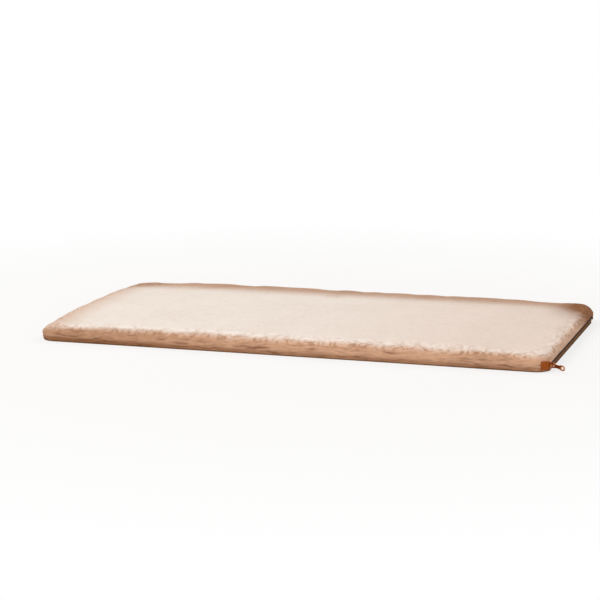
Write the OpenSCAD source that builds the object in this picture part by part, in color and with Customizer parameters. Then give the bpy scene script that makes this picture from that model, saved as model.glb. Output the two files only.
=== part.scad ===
// Window-sill pet pad: a foam pad in a plush cover that zips off, held to the sill by hook and loop
// strips. X runs along the length, Y from front to back, Z up. The origin is the middle of the
// underside, on the sill.

/* [Pad] */
// Length of the pad
pad_l = 610; // [450:5:900]
// Depth of the pad, front to back
pad_w = 320; // [240:5:480]
// Height of the crown in the middle
crown_h = 27; // [25.5:0.5:32]
// Height at which the rounded edge runs into the crown
edge_h = 23.4; // [22.4:0.2:25]
// Radius of the corners, seen from above
corner_r = 20; // [17:0.5:26]
// How far in the rounded top edge reaches
shoulder_in = 14; // [12:0.5:17]
// Height of the widest line round the side
bulge_z = 9.5; // [8:0.25:11]
// How far the bottom seam lies inside the widest line
seam_in = 2.6; // [1:0.2:4]
// How much lower the corners at the zip are than the sides
corner_drop = 2.5; // [0:0.25:3]
// How much lower the corners at the plain end are than the sides
plain_drop = 8; // [0:0.5:8]
// How far the long sides pull in between the corners
draw_in = 1.5; // [0:0.25:3]

/* [Cover and filling] */
// Thickness of the plush, backing and pile together
plush_t = 3.5; // [2.5:0.1:3.8]
// Thickness of the woven underside
base_t = 1; // [0.6:0.1:1.6]
// Thickness of the inner case
liner_t = 0.6; // [0.3:0.1:1]
// Height of the foam's top face
foam_top = 14; // [11:0.5:14]
// Play between one soft layer and the next
soft_gap = 0.3; // [0.2:0.05:0.5]

/* [Hook and loop strips] */
// Length of each strip
strip_l = 420; // [200:10:430]
// Width of each strip
strip_w = 20; // [15:1:38]
// Distance from the pad's long side to the middle of a strip
strip_inset = 45; // [38:1:75]
// Thickness of the loop strip
loop_t = 1; // [0.6:0.1:1.6]
// Thickness of the hook strip with its adhesive
hook_t = 1.5; // [0.8:0.1:2]
// Play round a strip in its place
strip_gap = 0.5; // [0.2:0.1:1]

/* [Zip] */
// Distance from the pad's short side in to the middle of the teeth
zip_in = 4.4; // [4.2:0.1:5]
// Distance from each end of the zip to the pad's long side
zip_end_in = 10; // [9:0.5:16]
// Distance from one tooth to the next on the same tape
pitch = 2.5; // [2.4:0.05:3.2]
// Width of the closed teeth
chain_w = 4.6; // [4.4:0.1:5.4]
// Thickness of the teeth
tooth_t = 2.2; // [1.6:0.1:2.6]
// How far a tooth reaches past the middle of the chain
tooth_reach = 0.75; // [0.65:0.05:0.85]
// Width of a tooth at its head
head_w = 1.44; // [1.2:0.02:1.5]
// Width of a tooth at its neck
neck_w = 0.84; // [0.6:0.02:0.9]
// Width of a tooth at its foot
foot_w = 1.9; // [1.6:0.05:2.2]
// Thickness of the tapes
tape_t = 0.6; // [0.4:0.05:0.8]
// Length of tape that lies on the underside
tape_hem = 8; // [5:0.5:12]
// Length of the cloth over each end of the zip, round the corner
end_l = 10; // [6:0.5:13]
// Thickness of that cloth, folded double
end_t = 0.6; // [0.4:0.05:0.8]
// Length of a stop along the zip
stop_l = 2; // [1.5:0.1:3]
// Thickness of a stop
stop_t = 3; // [2.8:0.1:3.4]

/* [Slider] */
// Length of the slider
slider_l = 10.8; // [10:0.1:14]
// Thickness of each plate
plate_t = 1; // [0.8:0.05:1.4]
// Thickness of the side flanges
flange_t = 0.75; // [0.6:0.05:1]
// Width of the wedge that parts the teeth
wedge_w = 0.9; // [0.7:0.05:1.2]
// Running gap between the slider and the teeth
run_gap = 0.1; // [0.06:0.01:0.15]
// Gap between the slider and the cloth round it
cloth_gap = 0.28; // [0.2:0.02:0.5]
// Length of the bridge
bridge_l = 8.4; // [7.5:0.1:9]
// Height of the bridge over the plate
bridge_h = 3; // [2.8:0.1:3.6]
// Thickness of the bridge's arch
bridge_t = 1.1; // [0.8:0.1:1.2]
// Width of the bridge
bridge_w = 2.4; // [1.8:0.1:2.8]

/* [Pull tab] */
// Length from the pin to the end of the tab
tab_l = 24; // [21:0.5:36]
// Width of the tab at its two ends
tab_w = 5.6; // [5.2:0.1:6.4]
// Width of the tab's shank
shank_w = 3.8; // [3:0.1:4.6]
// Thickness of the tab
tab_t = 1.2; // [0.9:0.05:1.25]
// Diameter of the pin that turns under the bridge
pin_d = 1.3; // [1.2:0.05:1.4]
// Gap between the pin and the plate
pin_gap = 0.25; // [0.15:0.05:0.3]
// Length of the opening at the tab's free end
loop_l = 5; // [3:0.5:7]
// Angle at which the tab hangs out, from straight out of the side towards the front
tab_rest = 45; // [0:1:80]

/* [Hidden] */

// Chords in a quarter of a corner, and points between two corners
corner_steps = 6;
long_steps = 8;
short_steps = 4;
// Steps of the profile below and above the widest line, and places on the crown
lower_steps = 3;
upper_steps = 4;
crown_at = [0.15, 0.45, 0.88];
// Share of the half width over which the long sides pull in
draw_share = 0.4;
// How near a corner its drop starts: along the length, and across it at the zip and at the plain end
drop_power = 5;
zip_end_power = 5;
plain_end_power = 1.5;

// The tapes lie on the underside, and the inner case on the tapes
fill_z = base_t + tape_t;
pocket_h = hook_t + loop_t;
strip_y = pad_w / 2 - strip_inset;
pocket_l = strip_l + 2 * strip_gap;
pocket_w = strip_w + 2 * strip_gap;

// The zip: half width of the parted teeth, of the channel and of the slider
spread = tooth_reach + wedge_w / 2 + run_gap;
mouth_half = chain_w / 2 + spread + run_gap;
tail_half = chain_w / 2 + 1.5 * run_gap;
slider_half = mouth_half + flange_t;
slider_gap = tooth_t + 3 * run_gap;
slider_t = slider_gap + 2 * plate_t;
zip_x = pad_l / 2 - zip_in;
zip_z = fill_z + cloth_gap + slider_half;
zip_rim = zip_z + slider_half + cloth_gap;
zip_half = pad_w / 2 - zip_end_in;
// How far a tape reaches into its teeth, and how far it runs on past the stops
tape_lap = 0.95;
tape_edge = chain_w / 2 - tape_lap;
tape_end = 0.6;
stop_y = zip_half - tape_end;
slider_y = -stop_y + stop_l + cloth_gap + slider_l / 2;
travel = -2 * slider_y;
// Gap between a stop and the first tooth
stop_gap = 0.2;
chain_start = -stop_y + stop_l + foot_w / 2 + stop_gap;
teeth = floor(-2 * chain_start / pitch);
// The last parted tooth lies in front of this line, inside the slider
split_y = slider_y + run_gap;
// Play round a tape in the slot of its tooth or stop, and how much deeper than the tape the slot is
slot_play = 0.02;
slot_over = 0.05;
tape_slot = tape_t + 2 * slot_play;
// How far a stop reaches over its tape's edge, and how far the bottom stop reaches past the teeth
stop_hold = 0.9;
stop_over = 0.2;
// Heights between which the cloth covers an end of the zip
end_low = base_t + 1.6;
end_high = zip_rim + 1.4;
end_steps = 6;

// The filling stops short of the slider's inner plate
liner_in = plush_t + soft_gap;
// The foam's top rises by this much from one line to the next
top_step = 0.01;
fill_x1 = zip_x - slider_t / 2 - 1.5 * soft_gap + liner_in;
foam_in = liner_in + liner_t + soft_gap;

// The pull tab's pin
pin_x = zip_x + slider_t / 2 + pin_gap + pin_d / 2;
// The tab's eye clears the bridge's corner at every angle; its ends taper into the shank
eye_play = 0.8;
eye_l = norm([bridge_l / 2, bridge_h - pin_gap - pin_d / 2]) + eye_play;
frame_t = 1.3;
taper_l = 2.2;
end_chamfer = 1.6;

// Side of the pad from the bottom seam to the crown, as distance in from the widest line and height
profile = concat(
    [for (i = [0:lower_steps - 1]) let (a = 90 * i / lower_steps)
        [seam_in * (1 - sin(a)), base_t + (bulge_z - base_t) * (1 - cos(a))]],
    [for (i = [0:upper_steps]) let (a = 90 * i / upper_steps)
        [shoulder_in * (1 - cos(a)), bulge_z + (edge_h - bulge_z) * sin(a)]],
    [for (u = crown_at)
        [shoulder_in + u * (pad_w / 2 - shoulder_in), edge_h + (crown_h - edge_h) * (1 - pow(1 - u, 2))]]);
profile_last = len(profile) - 1;
shoulder_at = lower_steps + upper_steps;

// Direction into the pad, square to the profile at one of its points
function inward(i) =
    i == 0 ? [1, 0]
    : let (t = profile[min(i + 1, profile_last)] - profile[i - 1]) [t[1], -t[0]] / norm(t);

// A point of the profile moved into the pad by a thickness
function layer(i, in) = profile[i] + in * inward(i);

function corner_radius(d) =
    d < shoulder_in ? corner_r - d : (corner_r - shoulder_in) + 0.5 * (d - shoulder_in);

// Rounded rectangle, counterclockwise, with the same number of points for every size
function outline(hx, hy, r) = [
    for (k = [0:3])
        let (sx = (k == 0 || k == 3) ? 1 : -1, sy = k < 2 ? 1 : -1,
             c = [sx * (hx - r), sy * (hy - r)],
             from = c + r * [cos(90 * k + 90), sin(90 * k + 90)],
             n = k % 2 == 0 ? long_steps : short_steps,
             side = k == 0 ? [-2 * (hx - r), 0] : k == 1 ? [0, -2 * (hy - r)]
                  : k == 2 ? [2 * (hx - r), 0] : [0, 2 * (hy - r)])
            each concat(
                [for (i = [0:corner_steps]) let (a = 90 * k + 90 * i / corner_steps)
                    c + r * [cos(a), sin(a)]],
                [for (i = [1:n]) from + side * i / (n + 1)])
];

// One closed line round the pad at a distance in from its widest line, which ends towards the zip at x1
function plan(d, x1) =
    let (hx = pad_l / 2 - d, hy = pad_w / 2 - d, r = min(corner_radius(d), 0.96 * hy),
         pull = draw_in * max(0, 1 - d / (draw_share * pad_w / 2)))
        [for (p = outline(hx, hy, r))
            [p[0] * (p[0] > 0 ? (x1 - d) / hx : 1), p[1] * (1 - pull * (1 - pow(p[0] / hx, 2)) / hy)]];

// How much lower a point near a corner lies than the sides at the same height
function drop(p, z) =
    (p[0] > 0 ? corner_drop : plain_drop) * max(0, (z - base_t) / (crown_h - base_t))
    * pow(abs(p[0]) / (pad_l / 2), drop_power)
    * pow(abs(p[1]) / (pad_w / 2), p[0] > 0 ? zip_end_power : plain_end_power);

// The same line at its height, with the corners lower than the sides
function ring(at, x1, low, high) =
    [for (p = plan(at[0], x1)) [p[0], p[1], min(high, max(low, at[1] - drop(p, at[1])))]];

// Average of some points
function middle(points) = [for (p = points) 1] * points / len(points);

// Closed solid through rings of equal length, with a fan of triangles over the first and the last. The
// strips between the first turned rings are cut along their other diagonals, so that an inner face stays
// parallel to an outer one.
module ring_solid(rings, turned = 0) {
    n = len(rings[0]);
    m = len(rings);
    polyhedron(
        points = concat([for (r = rings) each r], [middle(rings[0]), middle(rings[m - 1])]),
        faces = [
            for (j = [0:n - 1]) let (k = (j + 1) % n) each concat(
                [[j, k, m * n], [(m - 1) * n + k, (m - 1) * n + j, m * n + 1]],
                [for (i = [0:m - 2]) let (a = i * n + j, b = i * n + k, c = a + n, d = b + n)
                    each i < turned ? [[a, c, b], [b, c, d]] : [[a, c, d], [a, d, b]]])
        ],
        convexity = 6);
}

// Shell of cloth that follows the pad's side and crown between two depths
module cloth_shell(outer_in, inner_in, x1, low) {
    ring_solid(concat(
        [for (i = [profile_last:-1:0]) ring(layer(i, inner_in), x1, low, crown_h)],
        [for (i = [0:profile_last]) ring(layer(i, outer_in), x1, low, crown_h)]), profile_last);
}

// Block with its base on a height and the size of a strip's place grown by a margin
module strip_block(side, grow, low, high) {
    translate([-pocket_l / 2 - grow, side * strip_y - pocket_w / 2 - grow, low])
        cube([pocket_l + 2 * grow, pocket_w + 2 * grow, high - low]);
}

module rounded_strip(l, w, t, r) {
    linear_extrude(t)
        polygon([for (k = [0:3]) for (i = [0:4]) let (a = 90 * k + 22.5 * i)
            [((k == 0 || k == 3) ? 1 : -1) * (l / 2 - r), (k < 2 ? 1 : -1) * (w / 2 - r)]
            + r * [cos(a), sin(a)]]);
}

// Sheet under the pad with a raised pocket over each pair of strips
module pocketed_sheet(d, x1, low, t, rise, grow) {
    difference() {
        union() {
            translate([0, 0, low]) linear_extrude(t) polygon(plan(d, x1));
            for (side = [-1, 1]) strip_block(side, grow + t, low, low + rise + t);
        }
        for (side = [-1, 1]) strip_block(side, grow, low - 1, low + rise);
    }
}

module top_cover() {
    color("#E6D2BF") difference() {
        cloth_shell(0, plush_t, pad_l / 2, base_t);
        translate([pad_l / 2 - 2 * corner_r, -zip_half - cloth_gap, 0])
            cube([3 * corner_r, 2 * (zip_half + cloth_gap), zip_rim]);
    }
}

module base_panel() {
    color("#8A6238") pocketed_sheet(seam_in, pad_l / 2, 0, base_t, pocket_h, 0);
}

module foam_core() {
    color("#E9E2C8") difference() {
        ring_solid([for (i = [0:shoulder_at])
            ring(layer(i, foam_in), fill_x1, fill_z + liner_t, foam_top - top_step * (shoulder_at - i))]);
        for (side = [-1, 1])
            strip_block(side, base_t + soft_gap + liner_t, 0, base_t + pocket_h + liner_t);
    }
}

// The wadding lies on the foam and thins out over its edge
module wadding_layer() {
    edge = shoulder_at - 1;
    edge_t = 0.1;
    color("#F4F2EC")
        ring_solid(concat(
            [ring(layer(edge, foam_in), fill_x1, 0, foam_top)],
            [ring(layer(edge, foam_in) + [0, edge_t], fill_x1, 0, crown_h)],
            [for (i = [shoulder_at:profile_last]) ring(layer(i, foam_in), fill_x1, 0, crown_h)]));
}

module liner_top() {
    color("#EFEDE6") cloth_shell(liner_in, liner_in + liner_t, fill_x1, fill_z + liner_t);
}

module liner_bottom() {
    color("#EFEDE6")
        pocketed_sheet(layer(0, liner_in)[0], fill_x1, fill_z, liner_t,
                       base_t + pocket_h - fill_z, base_t + soft_gap);
}

module loop_strip(side) {
    color("#B9A48C") translate([0, side * strip_y, hook_t])
        rounded_strip(strip_l, strip_w, loop_t, 3);
}

module hook_strip(side) {
    color("#CFC6B8") translate([0, side * strip_y, 0])
        rounded_strip(strip_l, strip_w, hook_t, 3);
}

module loop_strip_front() { loop_strip(-1); }
module loop_strip_back() { loop_strip(1); }
module hook_strip_front() { hook_strip(-1); }
module hook_strip_back() { hook_strip(1); }

// Flat shape in the plane of the zip, drawn as [along the zip, up from its middle]
module in_zip_plane(t) {
    translate([zip_x - t / 2, 0, zip_z]) rotate([90, 0, 90]) linear_extrude(t) children();
}

// Middle of the gap between the last parted and the first closed tooth of a row
function step_y(first) =
    chain_start + first + (ceil((split_y - chain_start - first) / pitch) - 0.5) * pitch;

// Inner edge of a tape, which steps outwards where its teeth are parted
module tape_web(side, first, reach) {
    step = step_y(first);
    half_step = 0.4 * (pitch - foot_w);
    in_zip_plane(tape_t) polygon([for (p = [
        [-zip_half, tape_edge + spread], [step - half_step, tape_edge + spread],
        [step + half_step, tape_edge], [zip_half, tape_edge], [zip_half, reach], [-zip_half, reach]
    ]) [p[0], side * p[1]]]);
}

// The tape lies inside the cover's wall, and its sewn edge stops where the corners begin to drop
module zip_tape_upper() {
    rim = zip_rim - cloth_gap;
    straight = pad_w / 2 - corner_r;
    drop_reach = 8 * corner_drop;
    sewn = straight - drop_reach;
    sewn_in = plush_t + 1.5 * soft_gap;
    // The tape runs up past the rim, and is joined to its sewn edge from a little below the rim
    past_rim = 0.8;
    lap = 1;
    turn = 0.5;
    outer = [for (i = [1:2]) layer(lower_steps + i, sewn_in)];
    inner = [for (i = [1:2]) layer(lower_steps + i, sewn_in + tape_t)];
    color("#7A4420") union() {
        tape_web(1, 0, rim - zip_z);
        translate([zip_x - tape_t / 2, -straight, rim - lap]) cube([tape_t, 2 * straight, lap + past_rim]);
        translate([0, sewn, 0]) rotate([90, 0, 0]) linear_extrude(2 * sewn) polygon([
            [zip_x - tape_t / 2, rim], [zip_x + tape_t / 2, rim], [zip_x + tape_t / 2, rim + turn],
            [pad_l / 2 - outer[0][0], outer[0][1]], [pad_l / 2 - outer[1][0], outer[1][1]],
            [pad_l / 2 - inner[1][0], inner[1][1]], [pad_l / 2 - inner[0][0], inner[0][1]],
            [zip_x - tape_t / 2, rim + turn]]);
    }
}

module zip_tape_lower() {
    color("#7A4420") union() {
        tape_web(-1, pitch / 2, zip_z - base_t);
        translate([zip_x + tape_t / 2 - tape_hem, -zip_half, base_t])
            cube([tape_hem, 2 * zip_half, tape_t]);
    }
}

// One moulded tooth, drawn with its head towards the other tape and a slot for its own tape
module tooth() {
    foot_l = 1.1;
    ankle_l = 0.4;
    neck_end = 0.35;
    head_chamfer = 0.2;
    half = [
        [foot_w / 2, chain_w / 2], [foot_w / 2, chain_w / 2 - foot_l],
        [neck_w / 2, chain_w / 2 - foot_l - ankle_l], [neck_w / 2, neck_end],
        [head_w / 2, -0.4 * tooth_reach], [head_w / 2 - head_chamfer, -tooth_reach]
    ];
    difference() {
        linear_extrude(tooth_t)
            polygon(concat(half, [for (i = [len(half) - 1:-1:0]) [-half[i][0], half[i][1]]]));
        translate([-foot_w, tape_edge - slot_over, (tooth_t - tape_slot) / 2])
            cube([2 * foot_w, chain_w, tape_slot]);
    }
}

// One row of teeth; those in front of the split stand apart from the other row
module teeth_row(side, first) {
    for (i = [0:teeth - 1]) {
        y = chain_start + first + i * pitch;
        if (y < -chain_start + 0.01)
            translate([zip_x - tooth_t / 2, y, zip_z + (y < split_y ? side * spread : 0)])
                rotate([90, 0, 90]) mirror([0, side < 0 ? 1 : 0, 0]) tooth();
    }
}

module zip_teeth_upper() { color("#5A3216") teeth_row(1, 0); }
module zip_teeth_lower() { color("#5A3216") teeth_row(-1, pitch / 2); }

// Block over a tape's edge at one end of the zip, with a slot for the tape
module stop_block(y, z_low, z_high) {
    slot_z = tape_edge - slot_over + (y < split_y ? spread : 0);
    difference() {
        translate([zip_x - stop_t / 2, y, zip_z + z_low]) cube([stop_t, stop_l, z_high - z_low]);
        for (side = [-1, 1])
            in_zip_plane(tape_slot)
                polygon([for (p = [[y - 1, slot_z], [y + stop_l + 1, slot_z],
                                   [y + stop_l + 1, 2 * mouth_half], [y - 1, 2 * mouth_half]])
                    [p[0], side * p[1]]]);
    }
}

module zip_top_stops() {
    color("#8C4A22") for (side = [-1, 1]) {
        near = side * (tape_edge + spread - stop_hold);
        far = side * (chain_w / 2 + spread);
        stop_block(-stop_y, min(near, far), max(near, far));
    }
}

module zip_bottom_stop() {
    color("#8C4A22") stop_block(stop_y - stop_l, -chain_w / 2 - stop_over, chain_w / 2 + stop_over);
}

// Cloth sewn over an end of the zip, past the cover's opening and round the corner
module zip_end(side) {
    r = corner_r + soft_gap;
    from = asin((zip_half + cloth_gap + soft_gap - pad_w / 2 + corner_r) / r);
    to = from + end_l / r * 180 / PI;
    arc = [for (i = [0:end_steps]) let (a = side * (from + (to - from) * i / end_steps)) [cos(a), sin(a)]];
    color("#9A4E22") translate([pad_l / 2 - corner_r, side * (pad_w / 2 - corner_r), end_low])
        linear_extrude(end_high - end_low)
            polygon(concat(r * arc, [for (i = [end_steps:-1:0]) (r + end_t) * arc[i]]));
}

module zip_end_front() { zip_end(-1); }
module zip_end_back() { zip_end(1); }

// Half outline of the slider or of its channel, from the wide mouth to the narrow tail
function slider_side(mouth, tail, chamfer) = let (l = slider_l / 2) [
    [-l, mouth - chamfer], [-l + chamfer, mouth], [0.25 * l, mouth],
    [0.55 * l, tail], [l - chamfer, tail], [l, tail - chamfer]
];

module both_sides(points) {
    polygon(concat(points, [for (i = [len(points) - 1:-1:0]) [points[i][0], -points[i][1]]]));
}

module slider_body() {
    l = slider_l / 2;
    nose = 0.8;
    sunk = 0.1;
    tip = split_y - slider_y - head_w / 2 - 2 * run_gap;
    foot = zip_x + slider_t / 2;
    color("#A5521F") union() {
        translate([0, slider_y, 0]) difference() {
            in_zip_plane(slider_t) both_sides(slider_side(slider_half, tail_half + flange_t, nose));
            in_zip_plane(slider_gap) both_sides([
                [-l - 1, mouth_half], [0.22 * l, mouth_half], [0.5 * l, tail_half], [l + 1, tail_half]]);
            in_zip_plane(tape_t + 4 * run_gap)
                square([2 * slider_l, 4 * slider_half], center = true);
        }
        translate([0, slider_y, 0]) in_zip_plane(slider_gap + 2 * sunk)
            both_sides([[-l + 0.3, wedge_w / 2 - 0.2], [-l + 0.6, wedge_w / 2],
                        [tip - 1.2, wedge_w / 2], [tip, 0.05]]);
        // Arched bridge over the outer plate
        top = bridge_h + sunk;
        translate([foot - sunk, slider_y, zip_z - bridge_w / 2]) linear_extrude(bridge_w) difference() {
            polygon([[0, -bridge_l / 2], [0.55 * bridge_h, -bridge_l / 2], [top, -0.28 * bridge_l],
                     [top, 0.28 * bridge_l], [0.55 * bridge_h, bridge_l / 2], [0, bridge_l / 2]]);
            polygon([[sunk, bridge_t - bridge_l / 2], [0.4 * bridge_h, bridge_t - bridge_l / 2],
                     [top - bridge_t, -0.2 * bridge_l], [top - bridge_t, 0.2 * bridge_l],
                     [0.4 * bridge_h, bridge_l / 2 - bridge_t], [sunk, bridge_l / 2 - bridge_t]]);
        }
    }
}

module pull_tab() {
    w = tab_w / 2;
    s = shank_w / 2;
    eye_w = w - frame_t;
    color("#B8733A") translate([pin_x, slider_y, zip_z]) rotate([0, 0, -tab_rest]) union() {
        cylinder(h = tab_w, d = pin_d, center = true, $fn = 32);
        rotate([90, 0, 0]) translate([0, 0, -tab_t / 2]) linear_extrude(tab_t) difference() {
            both_sides([[0, w], [eye_l, w], [eye_l + taper_l, s], [tab_l - loop_l - 2 * taper_l, s],
                        [tab_l - loop_l - taper_l, w], [tab_l - end_chamfer, w], [tab_l, w - end_chamfer]]);
            translate([-1, -eye_w]) square([eye_l + 1, 2 * eye_w]);
            translate([tab_l - loop_l - frame_t, -eye_w]) square([loop_l, 2 * eye_w]);
        }
    }
}

top_cover();
base_panel();
foam_core();
wadding_layer();
liner_top();
liner_bottom();
loop_strip_front();
loop_strip_back();
hook_strip_front();
hook_strip_back();
zip_tape_upper();
zip_tape_lower();
zip_teeth_upper();
zip_teeth_lower();
zip_top_stops();
zip_bottom_stop();
zip_end_front();
zip_end_back();
slider_body();
pull_tab();
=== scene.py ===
"""Window-sill pet pad in a zip-off plush cover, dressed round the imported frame.

Lengths are metres. X runs along the pad, Y from its front to its back and Z up, and the origin is the
middle of the underside, as in the frame.
"""

import logging
import math
from collections.abc import Iterable, Iterator, Sequence
from contextlib import contextmanager
from dataclasses import dataclass
from enum import Enum

import bmesh
import bpy
import numpy as np
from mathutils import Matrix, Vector


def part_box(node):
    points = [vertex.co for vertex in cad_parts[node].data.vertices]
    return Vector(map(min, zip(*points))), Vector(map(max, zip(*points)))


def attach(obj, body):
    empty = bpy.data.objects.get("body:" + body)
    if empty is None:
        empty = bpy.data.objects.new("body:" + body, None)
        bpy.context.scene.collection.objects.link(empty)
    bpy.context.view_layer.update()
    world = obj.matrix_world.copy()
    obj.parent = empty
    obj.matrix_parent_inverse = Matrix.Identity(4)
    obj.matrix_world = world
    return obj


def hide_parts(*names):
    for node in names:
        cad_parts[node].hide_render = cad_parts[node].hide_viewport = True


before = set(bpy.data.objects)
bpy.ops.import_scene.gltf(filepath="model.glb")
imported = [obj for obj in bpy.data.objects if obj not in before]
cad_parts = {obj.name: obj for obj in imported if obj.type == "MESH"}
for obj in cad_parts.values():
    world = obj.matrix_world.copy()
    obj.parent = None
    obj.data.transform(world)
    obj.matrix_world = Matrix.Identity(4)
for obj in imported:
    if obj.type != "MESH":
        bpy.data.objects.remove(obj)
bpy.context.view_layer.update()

MM = 0.001
# How near to a cut a point counts as on it, how near two points are one, and how far outside a pocket's
# edge a point still counts as in it.
CUT_REACH = 1e-6
WELD_REACH = 2e-6
EDGE_REACH = 1e-5
# Keeps a length that something is divided by from being zero.
TINY = 1e-9
# From the zip to the edge of the cover's opening.
ZIP_GAP = 0.28 * MM
# A wave texture of scale 1 turns by this many radians in a metre.
WAVE_TURN = 20
# The signs of the four quarters round a point, counterclockwise.
QUARTERS = ((1, 1), (-1, 1), (-1, -1), (1, -1))
log = logging.getLogger("sill_pad")

Range = tuple[float, float]
Place = tuple[float, float, float]
Square = tuple[int, int, int, int]
Look = tuple[bpy.types.NodeSocket, bpy.types.NodeSocket]


class Body(Enum):
    """The bodies of the frame that pieces ride on."""

    PAD = "pad"
    SLIDER = "slider"
    TAB = "tab"


class Hold(Enum):
    """How a sheet of cloth is held."""

    STRETCHED = "stretched"
    LAID = "laid"
    DRAPED = "draped"


def linear(code: str) -> tuple[float, float, float, float]:
    """Turns an sRGB hex colour to linear light.

    Args:
        code: Six hex digits after a hash.

    Returns:
        Red, green, blue and an alpha of one.
    """
    parts = (int(code[i : i + 2], 16) / 255 for i in (1, 3, 5))
    return (*(p / 12.92 if p <= 0.04045 else ((p + 0.055) / 1.055) ** 2.4 for p in parts), 1.0)


def add_node(
    tree: bpy.types.NodeTree, kind: str, inputs: dict | None = None, **settings: object,
) -> bpy.types.NodeOutputs:
    """Adds a node with its settings, and sets or links its inputs.

    Args:
        tree: The shader or geometry tree.
        kind: The node's type identifier.
        inputs: An output socket to link or a value to set, for each input's name or index.
        settings: The node's own properties, such as operation.

    Returns:
        The new node's outputs.
    """
    node = tree.nodes.new(kind)
    for key, value in settings.items():
        setattr(node, key, value)
    for key, value in (inputs or {}).items():
        if isinstance(value, bpy.types.NodeSocket):
            tree.links.new(value, node.inputs[key])
        else:
            node.inputs[key].default_value = value
    return node.outputs


@dataclass(frozen=True)
class Finish:
    """A finish: what the surface is made of and how it was made."""

    name: str
    slot: str
    roughness: float

    def material(self) -> bpy.types.Material:
        """Builds the material the first time that it is asked for.

        Returns:
            The material.
        """
        made = bpy.data.materials.get(self.name)
        if made is None:
            made = bpy.data.materials.new(self.name)
            made.use_nodes = True
            tree = made.node_tree
            tree.nodes.clear()
            surface = add_node(tree, "ShaderNodeBsdfPrincipled", {"Roughness": self.roughness})["BSDF"]
            add_node(tree, "ShaderNodeOutputMaterial", {"Surface": surface})
            colour, relief = self.dress(tree, surface.node)
            tree.links.new(colour, surface.node.inputs["Base Color"])
            tree.links.new(relief, surface.node.inputs["Normal"])
        return made

    def dress(self, tree: bpy.types.NodeTree, shader: bpy.types.Node) -> Look:
        """Makes the finish's own colour and relief, and sets the rest of the shader."""
        raise NotImplementedError


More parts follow.
